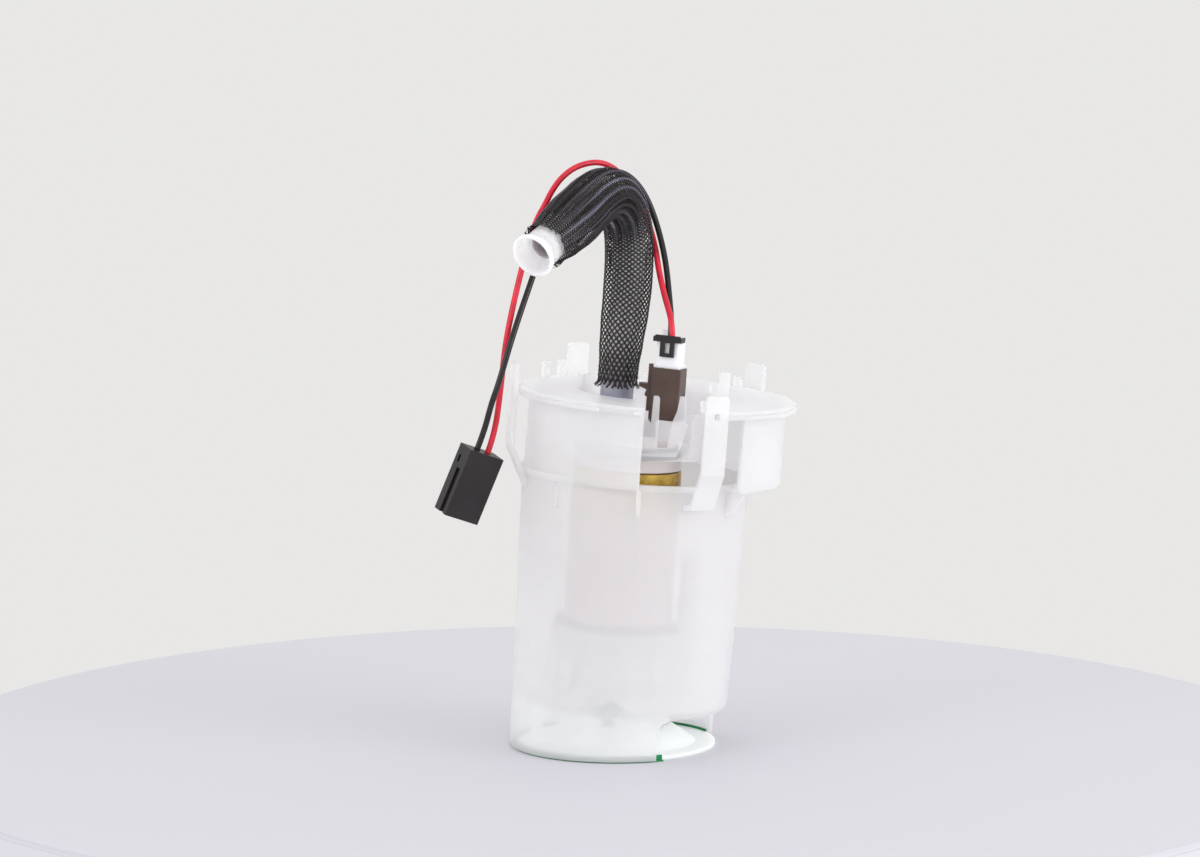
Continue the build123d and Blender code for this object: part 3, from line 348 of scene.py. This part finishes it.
def braidTurns(length):
    # how far a strand has turned round the hose at each distance, summed from the braid's angle and radius
    step = sleeveValues["stepMm"] * mm
    spots = [(0.0, 0.0)]
    while spots[-1][0] < length + 2 * mm:
        along, turned = spots[-1]
        angle = math.radians(profileAt(along, "angleDegrees"))
        stretch = step * math.cos(angle)
        spots.append((along + stretch, turned + math.tan(angle) / (profileAt(along, "radiusMm") * mm) * stretch))
    return spots


def foldAt(along, angle):
    # 1 on a pleat's crest and 0 in the groove beside it; the pleats wander a little as they go
    wander = sleeveValues["pleatWander"] * math.sin(2 * angle + along * 60)
    return abs(math.sin(sleeveValues["pleats"] * angle / 2 + wander))


def paintedRidgeShine(along, angle, fold, depth):
    # painted highlight: a packed crest is given a lighter colour, in patches that come and go round the sleeve
    patches = 0.5 + 0.5 * math.sin(3 * angle + 1 + along * 25)
    return min(depth / sleeveValues["fullRidgeMm"], 1) * (fold ** sleeveValues["ridgePower"] * patches)


def layStrand(maker, highlightShare, line, spots, hand, phase, cuts, chance):
    # one strand of the braid from its ragged start to its ragged end; hand is 1 or -1, the way it turns
    values = sleeveValues
    half = values["strandWidthMm"] * mm / 2
    thick = values["strandThicknessMm"] * mm / 2
    startCut, endCut = cuts
    endReach = values["endReachMm"] * mm
    previous = None
    for along, turned in spots:
        if along < startCut or along > endCut:
            continue
        angle = phase + hand * turned
        nearEnd = max(0, 1 - (along - startCut) / endReach) + max(0, 1 - (endCut - along) / endReach)
        lift = hand * math.cos(values["strandsEachWay"] * turned) * values["weaveMm"] * mm
        lift += nearEnd ** 2 * values["endFlareMm"] * mm * chance.uniform(*values["endFlareSpread"])
        depth = profileAt(along, "pleatMm")
        fold = foldAt(along, angle)
        pleat = depth * (fold ** values["pleatPower"] - values["pleatMiddle"])
        radius = (profileAt(along, "radiusMm") + pleat) * mm + lift
        point, way, side, up = line.at(along)
        out = side * math.cos(angle) + up * math.sin(angle)
        across = -side * math.sin(angle) + up * math.cos(angle)
        lean = math.radians(profileAt(along, "angleDegrees"))
        heading = way * math.cos(lean) + across * (hand * math.sin(lean))
        wide = heading.cross(out).normalized()
        centre = point + out * radius
        taper = profileAt(along, "spread") * (1 - values["endTaper"] * min(nearEnd, 1))
        ring = [maker.verts.new(centre + wide * (half * taper * x) + out * (thick * y)) for x, y in strandSection]
        for vert in ring:
            # the painted highlight goes on one hand of the braid only, so that each ridge is a row of beads
            vert[highlightShare] = paintedRidgeShine(along, angle, fold, depth) if hand > 0 else 0.0
        if previous:
            for i in range(len(ring)):
                j = (i + 1) % len(ring)
                maker.faces.new((previous[i], previous[j], ring[j], ring[i]))
        else:
            maker.faces.new(ring)
        previous = ring
    maker.faces.new(list(reversed(previous)))


def makeSleeve():
    line = FrameLine(sleeveRoute)
    spots = braidTurns(line.length)
    chance = random.Random(sleeveValues["seed"])
    ragged = sleeveValues["endRaggedMm"]
    maker = bmesh.new()
    # each vertex keeps how much painted highlight its crest gets
    highlightShare = maker.verts.layers.float.new("paintedPleatHighlight")
    for hand in (1, -1):
        for index in range(sleeveValues["strandsEachWay"]):
            cuts = (chance.uniform(0, ragged) * mm, line.length - chance.uniform(0, ragged) * mm)
            phase = math.tau * index / sleeveValues["strandsEachWay"]
            layStrand(maker, highlightShare, line, spots, hand, phase, cuts, chance)
    bmesh.ops.recalc_face_normals(maker, faces=maker.faces)
    sleeve = linkMesh("braidedSleeve", maker)
    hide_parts("braided_sleeve")
    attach(sleeve, "root")
    return sleeve


# wires: two stranded leads in thin insulation

wireValues = {"radiusMm": 1.2, "sides": 20, "stepMm": 1.0, "redLengthM": 0.2277, "blackLengthM": 0.2147}


def makeWire(name, node, route):
    line = FrameLine(route)
    count = round(line.length / (wireValues["stepMm"] * mm))
    wire = loftTube(name, [line.ring(line.length * i / count, wireValues["radiusMm"] * mm, wireValues["sides"])
                           for i in range(count + 1)])
    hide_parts(node)
    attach(wire, "root")
    return wire


# springs of the valves and brushes: round wire with closed ends

springValues = {
    # foot and length along the pump's own axis in mm, mean radius, wire radius, turns, and the share of its
    # length that is left when its joint is at the far limit
    "frontBrushSpring": {"node": "brush_spring_front", "joint": "brush_front_slide", "foot": (-3.3, -7.0, 108.1),
                         "lengthMm": 7.745, "radiusMm": 1.5, "wireMm": 0.22, "turns": 5, "keep": 0.61},
    "rearBrushSpring": {"node": "brush_spring_rear", "joint": "brush_rear_slide", "foot": (-3.3, 7.0, 108.1),
                        "lengthMm": 7.745, "radiusMm": 1.5, "wireMm": 0.22, "turns": 5, "keep": 0.61},
    "outletValveSpring": {"node": "check_valve_spring", "joint": "check_valve_lift", "foot": (-9.9, 2.0, 120.65),
                          "lengthMm": 7.295, "radiusMm": 1.6, "wireMm": 0.25, "turns": 5, "keep": 0.75},
    "reliefValveSpring": {"node": "relief_spring", "joint": "relief_lift", "foot": (-3.3, 12.0, 116.83),
                          "lengthMm": 4.515, "radiusMm": 1.35, "wireMm": 0.22, "turns": 4, "keep": 0.73},
}
pumpLeanDegrees = 4.1
coilValues = {"stepsPerTurn": 24, "sides": 8, "flatShare": 0.12, "climbShare": 0.76, "flatClimb": 0.1}


def makeSpring(name, values):
    lean = Matrix.Rotation(math.radians(pumpLeanDegrees), 3, "Y")
    axis = lean @ Vector((0, 0, 1))
    foot = lean @ (Vector(values["foot"]) * mm)
    wire, length = values["wireMm"] * mm, values["lengthMm"] * mm
    sides, flatClimb = coilValues["sides"], coilValues["flatClimb"]
    count = values["turns"] * coilValues["stepsPerTurn"]
    rings = []
    for i in range(count + 1):
        along = i / count
        # the end turns lie nearly flat on their seats, the rest climbs evenly
        climb = min(max((along - coilValues["flatShare"]) / coilValues["climbShare"], 0), 1)
        rise = wire + (length - 2 * wire) * (flatClimb * along + (1 - flatClimb) * climb)
        turn = math.tau * i / coilValues["stepsPerTurn"]
        out = lean @ Vector((math.cos(turn), math.sin(turn), 0))
        middle = foot + axis * rise + out * values["radiusMm"] * mm
        angles = [math.tau * j / sides for j in range(sides)]
        rings.append([middle + (out * math.cos(angle) + axis * math.sin(angle)) * wire for angle in angles])
    spring = loftTube(name, rings)
    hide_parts(values["node"])
    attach(spring, "root")
    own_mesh(spring)
    return spring


pieces = [makeHose(), makeSleeve()]
pieces.append(makeWire("redLead", "wire_red", redRoute))
pieces.append(makeWire("blackLead", "wire_black", blackRoute))
pieces += [makeSpring(name, values) for name, values in springValues.items()]
print("hose, sleeve, leads and springs made")


# materials

def fineNoise(tree, sizeMm, detail=3.0, stretch=(1, 1, 1)):
    # noise whose grains measure sizeMm, from the object's own coordinates in metres
    place = addNode(tree, "ShaderNodeTexCoord")
    scaled = addNode(tree, "ShaderNodeMapping", {"Scale": tuple(s / (sizeMm * mm) for s in stretch)},
                     {"Vector": place.outputs["Object"]})
    return addNode(tree, "ShaderNodeTexNoise", {"Scale": 1.0, "Detail": detail},
                   {"Vector": scaled.outputs["Vector"]})


def byHeight(tree, lowM, highM, atLow=0.0, atHigh=1.0):
    # goes from atLow to atHigh between two heights over the table
    place = addNode(tree, "ShaderNodeTexCoord")
    height = addNode(tree, "ShaderNodeSeparateXYZ", None, {"Vector": place.outputs["Object"]})
    share = addNode(tree, "ShaderNodeMapRange",
                    {"From Min": lowM, "From Max": highM, "To Min": atLow, "To Max": atHigh},
                    {"Value": height.outputs["Z"]})
    return share.outputs["Result"]


def softEdges(tree, surface, radiusMm, grain, grainHeightMm):
    # moulded edges catch light on their small radius, with the surface's grain over them
    edge = addNode(tree, "ShaderNodeBevel", {"samples": 4, "Radius": radiusMm * mm})
    bump = addNode(tree, "ShaderNodeBump", {"Strength": 1.0, "Distance": grainHeightMm * mm},
                   {"Height": grain.outputs["Fac"], "Normal": edge.outputs["Normal"]})
    tree.links.new(bump.outputs["Normal"], surface.inputs["Normal"])


def tint(tree, pattern, lightHex, darkHex):
    # the pattern's middle third goes from the dark to the light tone
    ramp = addNode(tree, "ShaderNodeValToRGB", None, {"Fac": pattern.outputs["Fac"]})
    for element, position, hexCode in zip(ramp.color_ramp.elements, (0.35, 0.65), (darkHex, lightHex)):
        element.position = position
        element.color = toLinear(hexCode)
    return ramp.outputs["Color"]


def mouldedPlastic(name, lightHex, darkHex, roughness, grainMm, bumpMm, edgeMm, seeThrough=0.0, scatterMm=0.0,
                   glow=0.0):
    # even colour with a faint flow mark, a fine mould grain and soft edges; seeThrough is for each face of a wall
    material, tree, surface = newMaterial(name)
    flow = fineNoise(tree, 14.0, 2.0)
    grain = fineNoise(tree, grainMm, 4.0)
    tree.links.new(tint(tree, flow, lightHex, darkHex), surface.inputs["Base Color"])
    setSurface(surface, {"Roughness": roughness, "IOR": 1.5, "Specular IOR Level": 0.4, "Alpha": 1 - seeThrough,
                         "Emission Color": toLinear(lightHex), "Emission Strength": glow})
    if scatterMm:
        setSurface(surface, {"Subsurface Weight": 1.0, "Subsurface Radius": (1.0, 0.96, 0.92),
                             "Subsurface Scale": scatterMm * mm})
    softEdges(tree, surface, edgeMm, grain, bumpMm)
    return material


potPaintedGlow = {"strength": 0.038, "fullBelowM": 0.05, "noneAboveM": 0.12}


def naturalAcetal():
    # injection-moulded natural acetal: milky, light glows through the 2 mm wall and inner shapes show as shadows;
    # the pot's lower wall has a painted glow, strongest near the table and gone higher up, which stands for the
    # light that the wall carries up from the table
    material = mouldedPlastic("naturalAcetalMoulded", "fdfbfe", "faf8fc", roughness=0.36, grainMm=0.9,
                              bumpMm=0.012, edgeMm=0.35, seeThrough=0.42, scatterMm=8.0)
    tree = material.node_tree
    surface = tree.nodes["Principled BSDF"]
    glow = byHeight(tree, potPaintedGlow["fullBelowM"], potPaintedGlow["noneAboveM"], potPaintedGlow["strength"], 0.0)
    tree.links.new(glow, surface.inputs["Emission Strength"])
    return material


def clearNylon():
    # thin unfilled nylon moulding: clearer than the pot; a faint glow stands for the light inside the sheet
    return mouldedPlastic("clearNylonMoulded", "f7f6f9", "f2f1f5", roughness=0.3, grainMm=0.8, bumpMm=0.006,
                          edgeMm=0.3, seeThrough=0.6, scatterMm=8.0, glow=0.09)


def baseAcetal():
    # acetal with a little green in it, satin; a faint glow stands for the light that the disc takes in at its rim
    return mouldedPlastic("greenTintedAcetal", "f3faf5", "ecf6ef", roughness=0.32, grainMm=0.9, bumpMm=0.01,
                          edgeMm=0.3, scatterMm=6.0, glow=0.2)


def greenRubber():
    # fuel-proof rubber, dull, with a dusty grain
    return mouldedPlastic("greenRubberMoulded", "0f8a4f", "0a6b3c", roughness=0.6, grainMm=0.35, bumpMm=0.02,
                          edgeMm=0.15)


def blackRubber():
    # moulded nitrile rubber, a dull soft black
    return mouldedPlastic("blackRubberMoulded", "2b2a2b", "1e1d1e", roughness=0.7, grainMm=0.35, bumpMm=0.02,
                          edgeMm=0.3)


def whiteAcetal():
    # opaque white acetal with a faint lavender shade, satin
    return mouldedPlastic("whiteAcetalMoulded", "f2f1f5", "ebeaf0", roughness=0.3, grainMm=0.7, bumpMm=0.008,
                          edgeMm=0.25, scatterMm=2.0)


# where the painted shade in the fitting's throat begins, and its grey
fittingValues = {"mouth": (-0.0325, -0.045, 0.2), "throatDepthMm": 8.0, "throatRadiusMm": 5.2,
                 "throatShadeHex": "a0969b"}


def milkyAcetal():
    # thin white acetal of the quick fitting, with a faint painted glow; deep in its throat a painted grey shade
    # stands for the shade in the bore
    material = mouldedPlastic("milkyAcetalMoulded", "fefdff", "faf9fc", roughness=0.34, grainMm=0.7, bumpMm=0.008,
                              edgeMm=0.25, seeThrough=0.1, scatterMm=8.0, glow=0.05)
    tree = material.node_tree
    surface = tree.nodes["Principled BSDF"]
    white = surface.inputs["Base Color"].links[0].from_socket
    throat, radius = fittingValues["throatDepthMm"] * mm, fittingValues["throatRadiusMm"] * mm
    # how far a point lies into the fitting from the middle of its mouth, and how far from its axis
    inward = (Vector(hoseRoute[-2]) - Vector(fittingValues["mouth"])).normalized()
    place = addNode(tree, "ShaderNodeTexCoord")
    offset = addNode(tree, "ShaderNodeVectorMath", {"operation": "SUBTRACT"}, {0: place.outputs["Object"]})
    offset.inputs[1].default_value = fittingValues["mouth"]
    depth = addNode(tree, "ShaderNodeVectorMath", {"operation": "DOT_PRODUCT"}, {0: offset.outputs["Vector"]})
    depth.inputs[1].default_value = inward
    turned = addNode(tree, "ShaderNodeVectorMath", {"operation": "CROSS_PRODUCT"}, {0: offset.outputs["Vector"]})
    turned.inputs[1].default_value = inward
    reach = addNode(tree, "ShaderNodeVectorMath", {"operation": "LENGTH"}, {0: turned.outputs["Vector"]})
    deep = addNode(tree, "ShaderNodeMapRange", {"From Min": throat - 1.0 * mm, "From Max": throat},
                   {"Value": depth.outputs["Value"]})
    inside = addNode(tree, "ShaderNodeMapRange", {"From Min": radius + 0.2 * mm, "From Max": radius},
                     {"Value": reach.outputs["Value"]})
    throatShade = addNode(tree, "ShaderNodeMath", {"operation": "MULTIPLY"},
                   {0: deep.outputs["Result"], 1: inside.outputs["Result"]})
    # painted shade: the grey is mixed in deep inside the bore
    colour = addNode(tree, "ShaderNodeMix", {"data_type": "RGBA"}, {"Factor": throatShade.outputs[0], "A": white})
    colour.inputs["B"].default_value = toLinear(fittingValues["throatShadeHex"])
    tree.links.new(colour.outputs["Result"], surface.inputs["Base Color"])
    return material


canValues = {"goldHex": "dcbd62", "darkGoldHex": "98762f", "roseHex": "bfa09c", "roseBelowM": 0.088,
             "goldAboveM": 0.102}


def passivatedSteel():
    # yellow passivated zinc on drawn steel: golden at the top, drifting to rose lower down, with fine draw lines
    material, tree, surface = newMaterial("yellowPassivatedSteel")
    drift = fineNoise(tree, 6.0, 3.0)
    drawn = fineNoise(tree, 0.35, 2.0, (1, 1, 0.06))
    colour = addNode(tree, "ShaderNodeMix", {"data_type": "RGBA"},
                     {"Factor": byHeight(tree, canValues["roseBelowM"], canValues["goldAboveM"]),
                      "B": tint(tree, drift, canValues["goldHex"], canValues["darkGoldHex"])})
    colour.inputs["A"].default_value = toLinear(canValues["roseHex"])
    tree.links.new(colour.outputs["Result"], surface.inputs["Base Color"])
    setSurface(surface, {"Metallic": 1.0, "Roughness": 0.28, "Anisotropic": 0.3})
    softEdges(tree, surface, 0.3, drawn, 0.004)
    return material


def brightMetal(name, lightHex, darkHex, roughness, grainMm, bumpMm, stretch=(1, 1, 1)):
    # bare metal whose tone drifts slowly, under a grain that stretch draws out into lines
    material, tree, surface = newMaterial(name)
    grain = fineNoise(tree, grainMm, 3.0, stretch)
    drift = fineNoise(tree, 6.0, 2.0)
    tree.links.new(tint(tree, drift, lightHex, darkHex), surface.inputs["Base Color"])
    setSurface(surface, {"Metallic": 1.0, "Roughness": roughness})
    softEdges(tree, surface, 0.12, grain, bumpMm)
    return material


def dieCastAluminium():
    # die-cast aluminium, grey with a slight orange-peel skin
    return brightMetal("dieCastAluminium", "c9c9cc", "b4b4b8", roughness=0.42, grainMm=0.7, bumpMm=0.02)


def phenolic():
    # moulded phenolic resin, brown-black and semi-matt
    return mouldedPlastic("mouldedPhenolic", "3d302a", "2b211d", roughness=0.45, grainMm=0.4, bumpMm=0.015,
                          edgeMm=0.15)


def springSteel():
    # drawn spring wire and ground shaft, bright
    return brightMetal("drawnSpringSteel", "d6d6d8", "bdbdc1", roughness=0.22, grainMm=0.2, bumpMm=0.002)


def laminatedSteel():
    # stack of 0.5 mm stamped sheets, whose edges show as fine lines across the axis
    return brightMetal("laminatedSteelStack", "8d8d92", "6c6c72", roughness=0.4, grainMm=0.5, bumpMm=0.03,
                       stretch=(0.02, 0.02, 1))


def enamelledCopper():
    # enamelled winding wire, warm copper under clear varnish
    return brightMetal("enamelledCopperWire", "c8744a", "9c5331", roughness=0.3, grainMm=0.5, bumpMm=0.03,
                       stretch=(0.1, 1, 1))


def sinteredFerrite():
    # pressed and sintered ferrite, charcoal grey with a dry grain
    return mouldedPlastic("sinteredFerrite", "3b3b3e", "2c2c2f", roughness=0.55, grainMm=0.3, bumpMm=0.02,
                          edgeMm=0.2)


def sinteredBronze():
    # porous oil-filled bronze, slightly dull
    return brightMetal("sinteredBronze", "b98d55", "94703f", roughness=0.45, grainMm=0.25, bumpMm=0.01)


def greyMoulding():
    # glass-filled grey moulding under the crimp, satin
    return mouldedPlastic("greyGlassFilledMoulding", "efe8e5", "e7e0dd", roughness=0.4, grainMm=0.5, bumpMm=0.01,
                          edgeMm=0.25)


def pressedCarbon():
    # pressed carbon of the brushes, soft graphite grey
    return mouldedPlastic("pressedCarbon", "2b2b2e", "1c1c1f", roughness=0.5, grainMm=0.3, bumpMm=0.01,
                          edgeMm=0.1)


def tinnedBrass():
    # tinned brass contacts, smooth and a warm silver
    return brightMetal("tinnedBrassContact", "d2cfc4", "b5b1a4", roughness=0.3, grainMm=0.3, bumpMm=0.004)


def brownNylon():
    # glass-filled nylon in dull brown, with a soft sheen on its corners
    return mouldedPlastic("brownGlassFilledNylon", "544038", "44332c", roughness=0.36, grainMm=0.4, bumpMm=0.012,
                          edgeMm=0.3)


def blackNylon():
    # black nylon with a fine spark-eroded grain that greys it under the lamps
    return mouldedPlastic("blackNylonSparkGrain", "242022", "1b1819", roughness=0.42, grainMm=0.35, bumpMm=0.014,
                          edgeMm=0.3)


def lockNylon():
    # unfilled black nylon of the lock clip, smoother and deeper black than the connector
    return mouldedPlastic("blackNylonSmooth", "1a1718", "121011", roughness=0.34, grainMm=0.35, bumpMm=0.008,
                          edgeMm=0.2)


def nylonMesh():
    # woven nylon filter cloth, drawn with 0.9 mm threads, coarser than real ones, so that the weave shows
    material, tree, surface = newMaterial("wovenNylonFilter")
    threadMm, oneTurn = 0.9, 6.283
    place = addNode(tree, "ShaderNodeTexCoord")
    weave = addNode(tree, "ShaderNodeTexWave",
                    {"Scale": 1 / (threadMm * mm) / oneTurn, "Distortion": 0.6, "bands_direction": "Z"},
                    {"Vector": place.outputs["Object"]})
    tree.links.new(tint(tree, weave, "e4e0cf", "b7b29f"), surface.inputs["Base Color"])
    setSurface(surface, {"Roughness": 0.6})
    return material


def hoseNylon():
    # extruded nylon tube, smoky blue-grey and translucent, glossy with faint draw lines along it, and painted
    # pale inside the sleeve, a painted light that lifts the braid's shade there, so that it shows as light
    # diamonds between the strands
    material, tree, surface = newMaterial("extrudedNylonHose")
    smoky = tint(tree, fineNoise(tree, 8.0, 2.0), "aeafc0", "9fa0b2")
    colour = addNode(tree, "ShaderNodeMix", {"data_type": "RGBA"},
                     {"Factor": byHeight(tree, 0.142, 0.152), "A": smoky})
    # painted light: above the sleeve's hem the tube is lifted to a pale tone against the braid's shade
    colour.inputs["B"].default_value = toLinear("fffaf8")
    tree.links.new(colour.outputs["Result"], surface.inputs["Base Color"])
    setSurface(surface, {"Roughness": 0.22, "IOR": 1.53, "Alpha": 0.85, "Subsurface Weight": 1.0,
                         "Subsurface Radius": (0.9, 0.95, 1.0), "Subsurface Scale": 2.5 * mm})
    lines = fineNoise(tree, 0.8, 2.0, (1, 1, 0.05))
    bump = addNode(tree, "ShaderNodeBump", {"Strength": 1.0, "Distance": 0.01 * mm},
                   {"Height": lines.outputs["Fac"]})
    tree.links.new(bump.outputs["Normal"], surface.inputs["Normal"])
    return material


def braidedPolyester():
    # polyester monofilament: near black and slippery, with painted violet-grey highlights along the ridges of the
    # pleats, where the packed filaments would catch the lamps
    material, tree, surface = newMaterial("blackPolyesterFilament")
    dark = tint(tree, fineNoise(tree, 1.6, 3.0), "231e1f", "171314")
    highlightShare = addNode(tree, "ShaderNodeAttribute", {"attribute_name": "paintedPleatHighlight"})
    colour = addNode(tree, "ShaderNodeMix", {"data_type": "RGBA"}, {"Factor": highlightShare.outputs["Fac"], "A": dark})
    # the painted highlight's violet-grey, mixed in on the pleats' crests
    colour.inputs["B"].default_value = toLinear("8d89a2")
    tree.links.new(colour.outputs["Result"], surface.inputs["Base Color"])
    setSurface(surface, {"Roughness": 0.34, "IOR": 1.57, "Specular IOR Level": 0.3, "Sheen Weight": 0.12,
                         "Sheen Roughness": 0.4, "Sheen Tint": toLinear("b9b4d6")})
    return material


def insulation(name, lightHex, darkHex):
    # extruded wire insulation, glossy, with a slow unevenness along it
    material, tree, surface = newMaterial(name)
    drift = fineNoise(tree, 5.0, 2.0)
    ripple = fineNoise(tree, 1.4, 2.0)
    tree.links.new(tint(tree, drift, lightHex, darkHex), surface.inputs["Base Color"])
    setSurface(surface, {"Roughness": 0.24, "IOR": 1.53, "Specular IOR Level": 0.35, "Coat Weight": 0.12,
                         "Coat Roughness": 0.15})
    bump = addNode(tree, "ShaderNodeBump", {"Strength": 1.0, "Distance": 0.012 * mm},
                   {"Height": ripple.outputs["Fac"]})
    tree.links.new(bump.outputs["Normal"], surface.inputs["Normal"])
    return material


def redInsulation():
    # bright signal red, glossy
    return insulation("redWireInsulation", "e0263c", "c21f35")


def blackInsulation():
    # soft black, glossy
    return insulation("blackWireInsulation", "211e1f", "191718")


finishes = {
    naturalAcetal: ["reservoir"],
    clearNylon: ["pump_holder"],
    baseAcetal: ["base_plate"],
    greenRubber: ["base_seal", "foot_valve"],
    blackRubber: ["rubber_mount_lower", "rubber_mount_upper"],
    whiteAcetal: ["inlet_strainer", "jet_pump", "pump_plug", "check_valve", "check_valve_guide"],
    milkyAcetal: ["hose_end_fitting"],
    nylonMesh: ["strainer_mesh"],
    passivatedSteel: ["pump_can"],
    dieCastAluminium: ["inlet_cover", "pump_plate"],
    phenolic: ["impeller", "thrust_pad"],
    springSteel: ["shaft", "magnet_clips", "hose_clip", "relief_ball", *springValues],
    laminatedSteel: ["armature_core"],
    enamelledCopper: ["armature_winding", "commutator"],
    sinteredFerrite: ["field_magnets"],
    sinteredBronze: ["lower_bearing", "upper_bearing", "relief_plug"],
    greyMoulding: ["pump_end_cap"],
    pressedCarbon: ["brush_front", "brush_rear"],
    tinnedBrass: ["terminal_pins", "harness_terminals"],
    brownNylon: ["connector_socket"],
    blackNylon: ["harness_connector"],
    lockNylon: ["plug_lock"],
    hoseNylon: ["hoseTube"],
    braidedPolyester: ["braidedSleeve"],
    redInsulation: ["redLead"],
    blackInsulation: ["blackLead"],
}


def dressAll():
    items = {**frame["nodes"], **{piece.name: piece for piece in pieces}}
    for makeFinish, names in finishes.items():
        material = makeFinish()
        for name in names:
            items[name].data.materials.clear()
            items[name].data.materials.append(material)


dressAll()
print("materials set")

bpy.context.view_layer.update()
